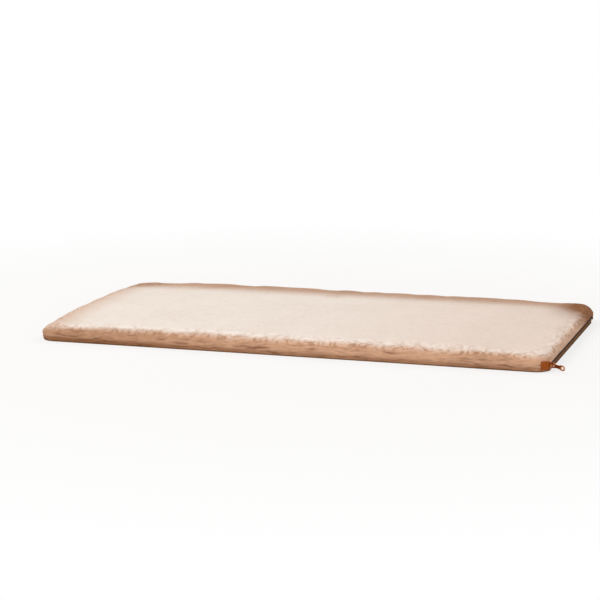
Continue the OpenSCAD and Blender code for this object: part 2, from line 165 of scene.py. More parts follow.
@dataclass(frozen=True)
class Plush(Finish):
    """Curled polyester plush: dark at the roots, pale and soft at the tips, with a sheen at a low angle.

    Its streaks stand for tufts, because single fibres would be too fine to see. It is darker the lower it
    lies, partly its own tone and partly painted shade in its hollows. The sides, the back and left edges and
    the right end take a shaded copy of the top's colours, which is painted shade, and the back edge, the back
    right corner, the foot of the sides and the left part of the front side take a deeper painted shade with
    less sheen.
    """

    top_root: str = "#E6D3C2"
    top_tip: str = "#FDF4ED"
    # The side colours are a shaded copy of the top's: painted shade on the sides and edges.
    side_shade_root: str = "#885A3E"
    side_shade_tip: str = "#E0B292"
    # The next two are a deeper painted shade.
    painted_shade_root: str = "#643E24"
    painted_shade_tip: str = "#97643F"
    patch: float = 55 * MM
    fibre: float = 1.3 * MM
    combing: float = 4
    pile_detail: float = 7.0
    pile_roughness: float = 0.62
    pile_twist: float = 1.8
    patch_share: float = 0.5
    pile_share: float = 0.2
    fibre_share: float = 0.3
    tone_drop: float = 0.35
    sunk_slope: float = -0.8
    sunk_from: float = 0.72
    hair_depth: float = 0.9 * MM
    hair_strength: float = 0.7
    sheen: float = 0.35
    painted_shade_sheen: float = -0.32
    sheen_roughness: float = 0.45
    sheen_tint: str = "#FFF4E8"
    gloss: float = 0.15

    def dress(self, tree: bpy.types.NodeTree, shader: bpy.types.Node) -> Look:
        """Tones the pile by its height, partly as painted shade, paints shade on its sides and edges, and
        tones it in soft patches.

        Args:
            tree: The material's tree.
            shader: The material's shader.

        Returns:
            The colour and the relief.
        """
        place = add_node(tree, "ShaderNodeTexCoord")["Object"]
        crest, painted_side_shade, curly, painted_shade = (
            add_node(tree, "ShaderNodeAttribute", attribute_name=name)["Fac"]
            for name in ("crest", "painted_side_shade", "curly", "painted_shade"))
        patches = add_node(
            tree, "ShaderNodeTexNoise", {"Vector": place, "Scale": 1 / self.patch, "Detail": 3.0})["Fac"]
        along = 1 / (self.combing * self.fibre)
        combed = add_node(
            tree, "ShaderNodeVectorMath", {0: place, 1: (along, along, 1 / self.fibre)},
            operation="MULTIPLY")[0]
        fibres = add_node(
            tree, "ShaderNodeTexNoise", {"Vector": combed, "Scale": 1.0, "Detail": 2.0})["Fac"]
        pile = add_node(tree, "ShaderNodeTexNoise", {
            "Vector": place, "Scale": 0.5 / self.fibre, "Detail": self.pile_detail,
            "Roughness": self.pile_roughness, "Distortion": self.pile_twist})["Fac"]
        mottled = -self.tone_drop
        for noise, share in (
            (patches, self.patch_share), (pile, self.pile_share), (fibres, self.fibre_share),
        ):
            mottled = add_node(
                tree, "ShaderNodeMath", {0: noise, 1: share, 2: mottled}, operation="MULTIPLY_ADD")[0]
        # The pile is darker the lower it lies: partly its own tone, partly painted shade in its hollows.
        tone = add_node(tree, "ShaderNodeMath", {0: crest, 1: mottled}, operation="ADD", use_clamp=True)[0]
        # Low places on the curly shoulder take the side's shaded colour: painted shade in the grooves there.
        sunk = add_node(
            tree, "ShaderNodeMath", {0: tone, 1: self.sunk_slope, 2: self.sunk_from},
            operation="MULTIPLY_ADD")[0]
        spread = add_node(
            tree, "ShaderNodeMath", {0: sunk, 1: curly, 2: painted_side_shade}, operation="MULTIPLY_ADD",
            use_clamp=True)[0]
        # The share squared: the roots take the side's colour later than the tips.
        deep = add_node(tree, "ShaderNodeMath", {0: spread, 1: spread}, operation="MULTIPLY")[0]
        # Each end of the pile goes from the top's colours to the sides' painted shade, then to the deeper
        # painted shade.
        ends = []
        for share, top, side, shaded in (
            (deep, self.top_root, self.side_shade_root, self.painted_shade_root),
            (spread, self.top_tip, self.side_shade_tip, self.painted_shade_tip),
        ):
            lit = add_node(
                tree, "ShaderNodeMix", {"Factor": share, "A": linear(top), "B": linear(side)},
                data_type="RGBA")[2]
            ends.append(add_node(
                tree, "ShaderNodeMix", {"Factor": painted_shade, "A": lit, "B": linear(shaded)}, data_type="RGBA")[2])
        colour = add_node(
            tree, "ShaderNodeMix", {"Factor": tone, "A": ends[0], "B": ends[1]}, data_type="RGBA")[2]
        hairs = add_node(tree, "ShaderNodeMath", {0: fibres, 1: 0.5, 2: pile}, operation="MULTIPLY_ADD")[0]
        relief = add_node(tree, "ShaderNodeBump", {
            "Height": hairs, "Distance": self.hair_depth, "Strength": self.hair_strength})[0]
        # Less sheen in the deeper painted shade, so that it stays dark.
        sheen = add_node(
            tree, "ShaderNodeMath", {0: painted_shade, 1: self.painted_shade_sheen, 2: self.sheen},
            operation="MULTIPLY_ADD")[0]
        tree.links.new(sheen, shader.inputs["Sheen Weight"])
        shader.inputs["Sheen Roughness"].default_value = self.sheen_roughness
        shader.inputs["Sheen Tint"].default_value = linear(self.sheen_tint)
        shader.inputs["Specular IOR Level"].default_value = self.gloss
        return colour, relief


@dataclass(frozen=True)
class Woven(Finish):
    """Plain-woven polyester: warp and weft cross as small raised beads of thread, a little uneven.

    The weave is drawn about twice as coarse as a real one, so that it shows.
    """

    thread: str
    # The shade colour is painted shade where the weave lies low, and also fills random patches.
    shade: str
    pitch: float
    across: tuple[int, int] = (0, 1)
    gloss: float = 0.25
    unevenness: float = 0.4
    wear_patch: float = 30 * MM
    bead: float = 0.25
    bead_strength: float = 0.7
    sheen: float = 0.15

    def dress(self, tree: bpy.types.NodeTree, shader: bpy.types.Node) -> Look:
        """Crosses two runs of thread along the cloth's two directions.

        Args:
            tree: The material's tree.
            shader: The material's shader.

        Returns:
            The colour and the relief.
        """
        place = add_node(tree, "ShaderNodeTexCoord")["Object"]
        scale = 2 * math.pi / (WAVE_TURN * self.pitch)
        runs = [
            add_node(
                tree, "ShaderNodeTexWave",
                {"Vector": place, "Scale": scale, "Distortion": self.unevenness, "Detail": 1.0},
                bands_direction="XYZ"[axis])["Fac"]
            for axis in self.across]
        height = add_node(tree, "ShaderNodeMath", {0: runs[0], 1: runs[1]}, operation="MULTIPLY")[0]
        wear = add_node(
            tree, "ShaderNodeTexNoise", {"Vector": place, "Scale": 1 / self.wear_patch, "Detail": 4.0})["Fac"]
        mixed = add_node(tree, "ShaderNodeMath", {0: wear, 1: height}, operation="MULTIPLY")[0]
        colour = add_node(
            tree, "ShaderNodeMix", {"Factor": mixed, "A": linear(self.shade), "B": linear(self.thread)},
            data_type="RGBA")[2]
        relief = add_node(tree, "ShaderNodeBump", {
            "Height": height, "Distance": self.bead * self.pitch, "Strength": self.bead_strength})[0]
        shader.inputs["Sheen Weight"].default_value = self.sheen
        shader.inputs["Sheen Tint"].default_value = linear(self.thread)
        shader.inputs["Specular IOR Level"].default_value = self.gloss
        return colour, relief


@dataclass(frozen=True)
class Grained(Finish):
    """Foam, wadding, non-woven, thread or moulded plastic: one colour with a grain of pits or lumps.

    The grain is drawn coarser than the real one, which would be too fine to see.
    """

    colour: str
    # The shade colour is painted shade in the pits.
    shade: str
    grain: float
    depth: float
    gloss: float = 0.3

    def dress(self, tree: bpy.types.NodeTree, shader: bpy.types.Node) -> Look:
        """Sinks the grain into the surface and paints shade into its pits.

        Args:
            tree: The material's tree.
            shader: The material's shader.

        Returns:
            The colour and the relief.
        """
        place = add_node(tree, "ShaderNodeTexCoord")["Object"]
        cells = add_node(
            tree, "ShaderNodeTexVoronoi", {"Vector": place, "Scale": 1 / self.grain})["Distance"]
        colour = add_node(
            tree, "ShaderNodeMix", {"Factor": cells, "A": linear(self.colour), "B": linear(self.shade)},
            data_type="RGBA")[2]
        relief = add_node(
            tree, "ShaderNodeBump", {"Height": cells, "Distance": self.depth, "Strength": 0.5},
            invert=True)[0]
        shader.inputs["Specular IOR Level"].default_value = self.gloss
        return colour, relief


@dataclass(frozen=True)
class Plated(Finish):
    """Copper-plated die-cast zinc: warm metal, bright where it is rubbed, brown where it has tarnished."""

    bright: str
    tarnish: str
    stain: float = 3 * MM
    stain_detail: float = 5.0
    stained: Range = (0.38, 0.66)
    dulled: float = 0.2
    pit: float = 0.03 * MM
    pit_strength: float = 0.4

    def dress(self, tree: bpy.types.NodeTree, shader: bpy.types.Node) -> Look:
        """Mottles the plating and its roughness together.

        Args:
            tree: The material's tree.
            shader: The material's shader.

        Returns:
            The colour and the relief.
        """
        place = add_node(tree, "ShaderNodeTexCoord")["Object"]
        stains = add_node(tree, "ShaderNodeTexNoise", {
            "Vector": place, "Scale": 1 / self.stain, "Detail": self.stain_detail})["Fac"]
        amount = add_node(tree, "ShaderNodeMapRange", {
            "Value": stains, "From Min": self.stained[0], "From Max": self.stained[1]})["Result"]
        colour = add_node(
            tree, "ShaderNodeMix", {"Factor": amount, "A": linear(self.bright), "B": linear(self.tarnish)},
            data_type="RGBA")[2]
        rough = add_node(tree, "ShaderNodeMapRange", {
            "Value": amount, "To Min": self.roughness, "To Max": self.roughness + self.dulled})["Result"]
        relief = add_node(tree, "ShaderNodeBump", {
            "Height": stains, "Distance": self.pit, "Strength": self.pit_strength})[0]
        tree.links.new(rough, shader.inputs["Roughness"])
        shader.inputs["Metallic"].default_value = 1.0
        return colour, relief


# What each gives the eye: plush a soft mottled pile with painted shade on its sides, edges and hollows,
# woven cloth rows of raised threads with painted shade between them, foam open pits, wadding soft pale
# lumps, the case faint dimples, moulded nylon and acetal a fine dull grain, plated zinc a warm gleam with
# brown stains, and thread a matt grain. Every grain has painted shade in its low places.
PLUSH = Plush("curled_polyester_plush", "plush", 0.95)
BASE_CLOTH = Woven("woven_polyester_base", "base_cloth", 0.85, "#A67A4C", "#6E4A28", 1.1 * MM)
ZIP_TAPE = Woven("woven_polyester_zip_tape", "zip_tape", 0.9, "#D8A274", "#A06C44", 0.8 * MM, (1, 2), 0.06)
LOOP_TAPE = Woven("brushed_nylon_loop_tape", "loop_tape", 0.9, "#C4B098", "#8F7C66", 0.9 * MM)
FOAM = Grained("open_cell_polyurethane_foam", "foam", 0.9, "#F0E8CE", "#C9BC96", 1.3 * MM, 0.5 * MM, 0.1)
WADDING = Grained("carded_polyester_wadding", "wadding", 1.0, "#FAF8F4", "#DCD8D0", 4 * MM, 0.9 * MM, 0.1)
CASE = Grained("spun_bonded_polypropylene_case", "liner", 0.7, "#F4F2EC", "#DDD9D0", 1.8 * MM, 0.2 * MM, 0.2)
HOOK_TAPE = Grained("moulded_nylon_hook_tape", "hook_tape", 0.5, "#D2C8B8", "#B5AA98", 0.9 * MM, 0.1 * MM)
TEETH = Grained(
    "moulded_acetal_zip_teeth", "zip_teeth", 0.6, "#52300F", "#341C0A", 0.7 * MM, 0.03 * MM, 0.05)
STOPS = Plated("copper_plated_zinc_stop", "zip_stops", 0.38, "#A8602E", "#5E3216")
SLIDER = Plated("copper_plated_zinc_slider", "slider", 0.3, "#C8743A", "#7A3E1A")
TAB = Plated("copper_plated_zinc_tab", "tab", 0.28, "#D08A4E", "#8E5426")
ZIP_END = Woven("woven_polyester_zip_end", "zip_end", 0.9, "#E07E34", "#9A4E1C", 0.7 * MM, (1, 2), 0.1)
THREAD = Grained("spun_polyester_thread", "base_cloth", 0.75, "#B08A64", "#7E5C3E", 0.5 * MM, 0.05 * MM, 0.2)


def new_piece(name: str, mesh: bpy.types.Mesh, smooth: bool = True) -> bpy.types.Object:
    """Links a mesh to the scene as a piece at the origin.

    Args:
        name: The piece's name.
        mesh: Its mesh, already in place.
        smooth: Whether its faces shade as one surface.

    Returns:
        The piece.
    """
    mesh.name = name
    piece = bpy.data.objects.new(name, mesh)
    bpy.context.scene.collection.objects.link(piece)
    mesh.polygons.foreach_set("use_smooth", [smooth] * len(mesh.polygons))
    return piece


def settle(piece: bpy.types.Object, finish: Finish, body: Body, *nodes: str) -> bpy.types.Object:
    """Gives a piece its finish and its body, and hides the frame's nodes that it stands for.

    Args:
        piece: The piece, in place.
        finish: What it is made of.
        body: The body that it moves with.
        nodes: The frame's nodes that it replaces.

    Returns:
        The piece.
    """
    piece.data.materials.clear()
    piece.data.materials.append(finish.material())
    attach(piece, body.value)
    if nodes:
        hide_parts(*nodes)
    log.info("%s: %d faces, on %s", piece.name, len(piece.data.polygons), body.value)
    return piece


def dress_node(node: str, finish: Finish) -> None:
    """Gives one of the frame's nodes a finish.

    Args:
        node: The node's name.
        finish: What it is made of.
    """
    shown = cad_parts[node]
    shown.data.materials.clear()
    shown.data.materials.append(finish.material())
    log.info("%s: the frame's node, in %s", node, finish.name)


def smoothstep(value: np.ndarray, start: float, end: float) -> np.ndarray:
    """Rises smoothly from 0 at start to 1 at end."""
    t = np.clip((value - start) / (end - start), 0, 1)
    return t * t * (3 - 2 * t)


def rises(value: np.ndarray, span: Range, zero: float = 0.0) -> np.ndarray:
    """Rises smoothly from 0 to 1 over a span that counts from a place of its own."""
    return smoothstep(value, zero + span[0], zero + span[1])


class Growth:
    """A Geometry Nodes tree with named sizes, run once on an object to make a plain mesh."""

    def __init__(self, name: str, sizes: dict[str, float]) -> None:
        """Starts the tree.

        Args:
            name: The tree's name.
            sizes: Each input's name and its value.
        """
        self.tree = bpy.data.node_groups.new(name, "GeometryNodeTree")
        ports = self.tree.interface
        ports.new_socket("Geometry", in_out="INPUT", socket_type="NodeSocketGeometry")
        ports.new_socket("Geometry", in_out="OUTPUT", socket_type="NodeSocketGeometry")
        for label, value in sizes.items():
            ports.new_socket(label, in_out="INPUT", socket_type="NodeSocketFloat").default_value = value
        self.given = add_node(self.tree, "NodeGroupInput")

    def add(self, kind: str, inputs: dict | None = None, **settings: object) -> bpy.types.NodeOutputs:
        """Adds a node to this tree, as add_node does."""
        return add_node(self.tree, kind, inputs, **settings)

    def close(self, geometry: bpy.types.NodeSocket, finish: Finish) -> None:
        """Ends the tree with plain geometry in a finish.

        Args:
            geometry: What the tree has made.
            finish: What it is made of.
        """
        real = self.add("GeometryNodeRealizeInstances", {0: geometry})[0]
        dressed = self.add("GeometryNodeSetMaterial", {0: real, "Material": finish.material()})[0]
        self.add("NodeGroupOutput", {0: dressed})

    def run(self, source: bpy.types.Object, name: str) -> bpy.types.Object:
        """Runs the tree on an object, which it uses up.

        Args:
            source: The mesh or curve that the tree starts from.
            name: The new piece's name.

        Returns:
            The new piece, a plain mesh.
        """
        source.modifiers.new(self.tree.name, "NODES").node_group = self.tree
        source.name = name
        return applied(source)


@dataclass(frozen=True)
class Fall:
    """The line that a panel follows over its edge, as distance in from the widest line and height."""

    inset: np.ndarray
    height: np.ndarray

    @property
    def along(self) -> np.ndarray:
        """Distance along the line to each of its points."""
        return np.concatenate([[0], np.cumsum(np.hypot(np.diff(self.inset), np.diff(self.height)))])


@dataclass(frozen=True)
class PadForm:
    """The cover's outer form: a rounded rectangle with a crowned top and a soft side."""

    half_length: float
    half_width: float
    crown: float
    edge: float = 23.4 * MM
    bulge: float = 9.5 * MM
    shoulder: float = 14 * MM
    seam_inset: float = 2.6 * MM
    seam_height: float = 1 * MM
    corner: float = 20 * MM
    draw: float = 1.5 * MM
    draw_share: float = 0.4
    zip_drop: float = 2.5 * MM
    plain_drop: float = 8 * MM
    drop_power: float = 5
    plain_power: float = 1.5
    crown_power: int = 6
    least_corner: float = 1 * MM
    side_points: int = 48

    @classmethod
    def of_frame(cls) -> "PadForm":
        """Takes the form's length, width and height from the frame."""
        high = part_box("top_cover")[1]
        return cls(high.x, high.y, high.z)

    def side(self, below: float) -> Fall:
        """Follows the side from the shoulder down to the seam, and straight on.

        Args:
            below: How far the line runs on below the seam.

        Returns:
            The line.
        """
        turn = np.linspace(0, math.pi / 2, self.side_points)
        under = turn[1:]
        inset = [
            self.shoulder * (1 - np.sin(turn)), self.seam_inset * (1 - np.cos(under)), [self.seam_inset]]
        height = [
            self.bulge + (self.edge - self.bulge) * np.cos(turn),
            self.seam_height + (self.bulge - self.seam_height) * (1 - np.sin(under)),
            [self.seam_height - below]]
        return Fall(np.concatenate(inset), np.concatenate(height))

    def wrap(self, flat: np.ndarray, fall: Fall, depth: float = 0.0) -> np.ndarray:
        """Lays points of the flat panel over the filling.

        Args:
            flat: Points of the panel, from its middle.
            fall: The line that the panel follows over its edge.
            depth: How deep under the outer form the points lie.

        Returns:
            The points in place.
        """
        core = np.array([self.half_length - self.corner, self.half_width - self.corner])
        past = np.maximum(np.abs(flat) - core, 0)
        reach = np.hypot(*past.T)
        start = self.corner - fall.inset[0]
        way = np.maximum(reach - start, 0)
        lean = np.interp(way, fall.along, np.clip(-np.gradient(fall.height, fall.along), 0, 1))
        radius = np.where(
            reach > start, self.corner - np.interp(way, fall.along, fall.inset) - depth * lean, reach)
        heading = past / np.maximum(reach, TINY)[:, None]
        x, y = (np.sign(flat) * (np.minimum(np.abs(flat), core) + radius[:, None] * heading)).T
        rise = (1 - np.minimum(np.abs(x) / (self.half_length - self.shoulder), 1) ** self.crown_power) * (
            1 - np.minimum(np.abs(y) / (self.half_width - self.shoulder), 1) ** 2)
        sunk = depth * np.sqrt(1 - lean ** 2)
        z = np.interp(way, fall.along, fall.height) + (self.crown - self.edge) * rise - sunk
        near = (np.abs(x) / self.half_length) ** self.drop_power * (
            np.abs(y) / self.half_width) ** np.where(x < 0, self.plain_power, self.drop_power)
        drop = np.where(x < 0, self.plain_drop, self.zip_drop)
        z = z - drop * near * np.maximum(0, (z - self.seam_height) / (self.crown - self.seam_height))
        return np.column_stack([x, self.drawn(x, y), z])

    def drawn(self, x: np.ndarray, y: np.ndarray) -> np.ndarray:
        """Pulls the long sides in between the corners.

        Args:
            x: Places along the pad.
            y: Places across it.

        Returns:
            The new places across it.
        """
        room = self.draw_share * self.half_width
        pull = self.draw * np.maximum(0, 1 - (self.half_width - np.abs(y)) / room)
        return y * (1 - pull * np.clip(1 - (x / self.half_length) ** 2, 0, 1) / self.half_width)

    def inset(self, x: np.ndarray, y: np.ndarray) -> np.ndarray:
        """Measures how far in from the widest line points lie.

        Args:
            x: Places along the pad.
            y: Places across it.

        Returns:
            The distances, below zero outside the line.
        """
        beyond = np.hypot(
            np.maximum(np.abs(x) - self.half_length + self.corner, 0),
            np.maximum(np.abs(y) - self.half_width + self.corner, 0))
        straight = np.minimum(self.half_length - np.abs(x), self.half_width - np.abs(y))
        return np.where(beyond > 0, self.corner - beyond, straight)

    def panel(self, fine: float, coarse: float, fall: Fall) -> tuple[np.ndarray, list[Square]]:
        """Rules the flat panel into squares, without its corners.

        Args:
            fine: Side of a square near the panel's edge.
            coarse: Side of a square in its middle.
            fall: The line that the panel follows over its edge.

        Returns:
            The flat points and the squares.
        """
        reach = self.corner - fall.inset[0] + fall.along[-1]
        ends = (self.half_length - self.corner + reach, self.half_width - self.corner + reach)
        lines = []
        for end in ends:
            turn = end - reach - self.corner
            inner = np.linspace(0, turn, math.ceil(turn / coarse) + 1)
            outer = np.linspace(turn, end, math.ceil((end - turn) / fine) + 1)
            half = np.concatenate([inner, outer[1:]])
            lines.append(np.concatenate([-half[:0:-1], half]))
        u, v = np.meshgrid(*lines, indexing="ij")
        flat = np.column_stack([u.ravel(), v.ravel()])
        count = len(lines[1])
        squares = []
        for i in range(len(lines[0]) - 1):
            for j in range(count - 1):
                mid = ((lines[0][i] + lines[0][i + 1]) / 2, (lines[1][j] + lines[1][j + 1]) / 2)
                over = [max(abs(m) - (e - reach), 0) for m, e in zip(mid, ends)]
                if math.hypot(*over) < reach:
                    a = i * count + j
                    squares.append((a, a + count, a + count + 1, a + 1))
        return flat, squares

    def outline(self, inset: float, height: float, spacing: float) -> np.ndarray:
        """Walks once round the pad at a distance in from its widest line.

        Args:
            inset: The distance in.
            height: The line's height.
            spacing: Distance from one point to the next on the widest line.

        Returns:
            The closed line's points, counterclockwise from above, as many for every inset.
        """
        half = np.array([self.half_length - inset, self.half_width - inset])
        radius = max(self.corner - inset, self.least_corner)
        core = half - radius
        turns = math.ceil(self.corner * math.pi / 2 / spacing)
        points: list[tuple[float, float]] = []
        for k, (sx, sy) in enumerate(QUARTERS):
            for i in range(turns + 1):
                a = (k + i / turns) * math.pi / 2
                points.append((sx * core[0] + radius * math.cos(a), sy * core[1] + radius * math.sin(a)))
            start = points[-1]
            end = [(-core[0], half[1]), (-half[0], -core[1]), (core[0], -half[1]), (half[0], core[1])][k]
            steps = math.ceil(2 * (self.half_length, self.half_width)[k % 2] / spacing)
            points += [
                (start[0] + (end[0] - start[0]) * i / steps, start[1] + (end[1] - start[1]) * i / steps)
                for i in range(1, steps)]
        x, y = np.array(points).T
        return np.column_stack([x, self.drawn(x, y), np.full(len(x), height)])


@dataclass(frozen=True)
class ZipPlace:
    """Where the zip lies in the foot of the pad's right side."""

    half_length: float
    rim: float

    @classmethod
    def of_frame(cls) -> "ZipPlace":
        """Measures the zip in the frame."""
        return cls(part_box("zip_tape_lower")[1].y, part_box("slider_body")[1].z + ZIP_GAP)


def laid_panel(form: PadForm, fall: Fall, fine: float, coarse: float, depth: float) -> bpy.types.Object:
    """Lays a panel of squares over the filling.

    Args:
        form: The cover's outer form.
        fall: The line that the panel follows over its edge.
        fine: Side of a square near the panel's edge.
        coarse: Side of a square in its middle.
        depth: How deep under the outer form the panel lies.

    Returns:
        The panel, facing outwards, with a stepped lower border.
    """
    flat, squares = form.panel(fine, coarse, fall)
    mesh = mesh_of("panel", form.wrap(flat, fall, depth), squares)
    with edited(mesh) as body:
        bmesh.ops.delete(body, geom=[v for v in body.verts if not v.link_faces], context="VERTS")
        if sum(f.normal.z for f in body.faces) < 0:
            bmesh.ops.reverse_faces(body, faces=body.faces)
    return new_piece("panel", mesh)


def mesh_of(name: str, points: np.ndarray, faces: list) -> bpy.types.Mesh:
    """Makes a mesh.

    Args:
        name: Its name.
        points: Its points.
        faces: For each face, the numbers of its points.

    Returns:
        The mesh.
    """
    mesh = bpy.data.meshes.new(name)
    mesh.from_pydata([tuple(p) for p in points], [], faces)
    return mesh


@contextmanager
def edited(mesh: bpy.types.Mesh) -> Iterator[bmesh.types.BMesh]:
    """Opens a mesh for editing, and writes it back afterwards.

    Args:
        mesh: The mesh.

    Yields:
        Its points, edges and faces.
    """
    body = bmesh.new()
    body.from_mesh(mesh)
    yield body
    body.to_mesh(mesh)
    body.free()


def cut(
    body: bmesh.types.BMesh, place: Sequence[float], across: Sequence[float],
    among: list | None = None, drop: bool = False,
) -> None:
    """Cuts a mesh along a plane.

    Args:
        body: The mesh.
        place: A point of the plane.
        across: The direction that the plane is square to.
        among: The points, edges and faces that may be cut, or None for all of them.
        drop: Whether what lies behind the plane goes.
    """
    if among is None:
        among = body.verts[:] + body.edges[:] + body.faces[:]
    bmesh.ops.bisect_plane(
        body, geom=among, dist=CUT_REACH, plane_co=place, plane_no=across, clear_inner=drop)


def write_attribute(mesh: bpy.types.Mesh, name: str, values: np.ndarray) -> None:
    """Stores one number for each point of a mesh."""
    layer = mesh.attributes.get(name) or mesh.attributes.new(name, "FLOAT", "POINT")
    layer.data.foreach_set("value", np.asarray(values, np.float32))


def points_of(mesh: bpy.types.Mesh) -> np.ndarray:
    """Reads a mesh's points.

    Args:
        mesh: The mesh.

    Returns:
        One row for each point.
    """
    flat = np.zeros(3 * len(mesh.vertices), np.float32)
    mesh.vertices.foreach_get("co", flat)
    return flat.reshape(-1, 3).astype(float)


def place_points(mesh: bpy.types.Mesh, points: np.ndarray) -> None:
    """Moves a mesh's points."""
    mesh.vertices.foreach_set("co", points.astype(np.float32).ravel())
    mesh.update()


@dataclass
class ClothPress:
    """Air pressure that swells a cloth shell, with part of it pinned."""

    cap: float
    pressure: float = 4.0
    frames: int = 20
    slack: float = 0.02
    filling: float = 0.12
    quality: int = 6
    mass: float = 0.3
    stretch_stiffness: float = 18
    shear_stiffness: float = 8
    bending_stiffness: float = 1.5

    def swell(self, piece: bpy.types.Object, held: np.ndarray) -> None:
        """Runs the cloth and keeps its last shape, moved no further than the cap and not into the filling.

        Args:
            piece: The shell.
            held: For each point, 1 where it is pinned and 0 where it is free.
        """
        mesh = piece.data
        before = points_of(mesh)
        group = piece.vertex_groups.new(name="held")
        for index, weight in enumerate(np.maximum(held, self.filling)):
            group.add([index], float(weight), "REPLACE")
        cloth = piece.modifiers.new("cloth", "CLOTH")
        settings = cloth.settings
        settings.quality = self.quality
        settings.mass = self.mass
        settings.tension_stiffness = settings.compression_stiffness = self.stretch_stiffness
        settings.shear_stiffness = self.shear_stiffness
        settings.bending_stiffness = self.bending_stiffness
        settings.vertex_group_mass = group.name
        settings.shrink_min = -self.slack
        settings.use_pressure = True
        settings.uniform_pressure_force = self.pressure
        settings.effector_weights.gravity = 0
        cloth.point_cache.frame_end = self.frames
        scene = bpy.context.scene
        for step in range(1, self.frames + 1):
            scene.frame_set(step)
        graph = bpy.context.evaluated_depsgraph_get()
        after = points_of(piece.evaluated_get(graph).data)
        piece.modifiers.remove(cloth)
        piece.vertex_groups.remove(group)
        scene.frame_set(1)
        move = after - before
        length = np.linalg.norm(move, axis=1, keepdims=True)
        move *= np.minimum(1, self.cap / np.maximum(length, TINY))
        normals = np.array([v.normal for v in mesh.vertices])
        out = np.einsum("ij,ij->i", move, normals)
        move -= np.minimum(out, 0)[:, None] * normals
        place_points(mesh, before + move)
        spread = np.percentile(out, (0, 25, 50, 75, 100)) / MM
        log.info("%s: swelled by %s mm", piece.name, spread.round(2))


@dataclass(frozen=True)
class PileZones:
    """Where the cover's cloth is held, where its pile changes and where shade is painted on it.

    A range is where a change starts and where it is complete. Heights count from the sill, and ranges
    above the seam or the zip from there. The range of the curls counts inwards from the widest line, and
    the others count outwards from a side or an end of the pad or the zip.
    """

    seam_hold: Range = (2 * MM, 7 * MM)
    zip_hold_in: Range = (-10 * MM, -6 * MM)
    zip_hold_past: Range = (0.0, 6 * MM)
    zip_hold_above: Range = (2 * MM, 7 * MM)
    above_seam: Range = (0.0, 3 * MM)
    flat_in: Range = (-16 * MM, -13 * MM)
    flat_past: Range = (-2 * MM, 0.0)
    flat_above: Range = (1.5 * MM, 5 * MM)
    side_in: Range = (-9.5 * MM, -1.5 * MM)
    side_height: Range = (9 * MM, 15 * MM)
    foot_height: Range = (3.5 * MM, 8.5 * MM)
    curl_height: Range = (12 * MM, 17 * MM)
    curl_in: Range = (9 * MM, 24 * MM)
    top_height: Range = (14 * MM, 20 * MM)
    smooth_back: Range = (-30 * MM, -15 * MM)
    smooth_share: float = 0.75
    back: Range = (-98 * MM, -24.5 * MM)
    left: Range = (-58.8 * MM, -4 * MM)
    corner_x: Range = (-58.8 * MM, 0.0)
    corner_y: Range = (-156.8 * MM, -34.3 * MM)
    # The rest: where two painted shades start or end along the pad, as shares of its half length, and how
    # strongly each painted shade tones the pile.
    right_shade_from: float = -0.5
    dim_to: float = 0.8
    back_tone: float = 0.95
    left_tone: float = 0.7
    right_shade_tone: float = 0.3
    back_painted_shade: float = 0.38
    corner_painted_shade: float = 0.97
    foot_painted_shade: float = 0.52
    dim_painted_shade: float = 0.34


@dataclass(frozen=True)
class PileCrests:
    """How the pile's noise turns into crests, which go from about 0 in a dip to about 0.8 on a ridge."""

    ridge_slope: float = -4.5
    ridge_share: float = 0.65
    wave_share: float = 0.7
    lowered: float = -0.18
    middle: float = 0.62
    top_share: float = 0.5
    groove_slope: float = 6.5
    groove_floor: float = 0.34
    curl_top: float = 0.8
    curl_detail: float = 1.5
    facing_up: Range = (0.55, 0.95)
    unmoved: float = 0.6


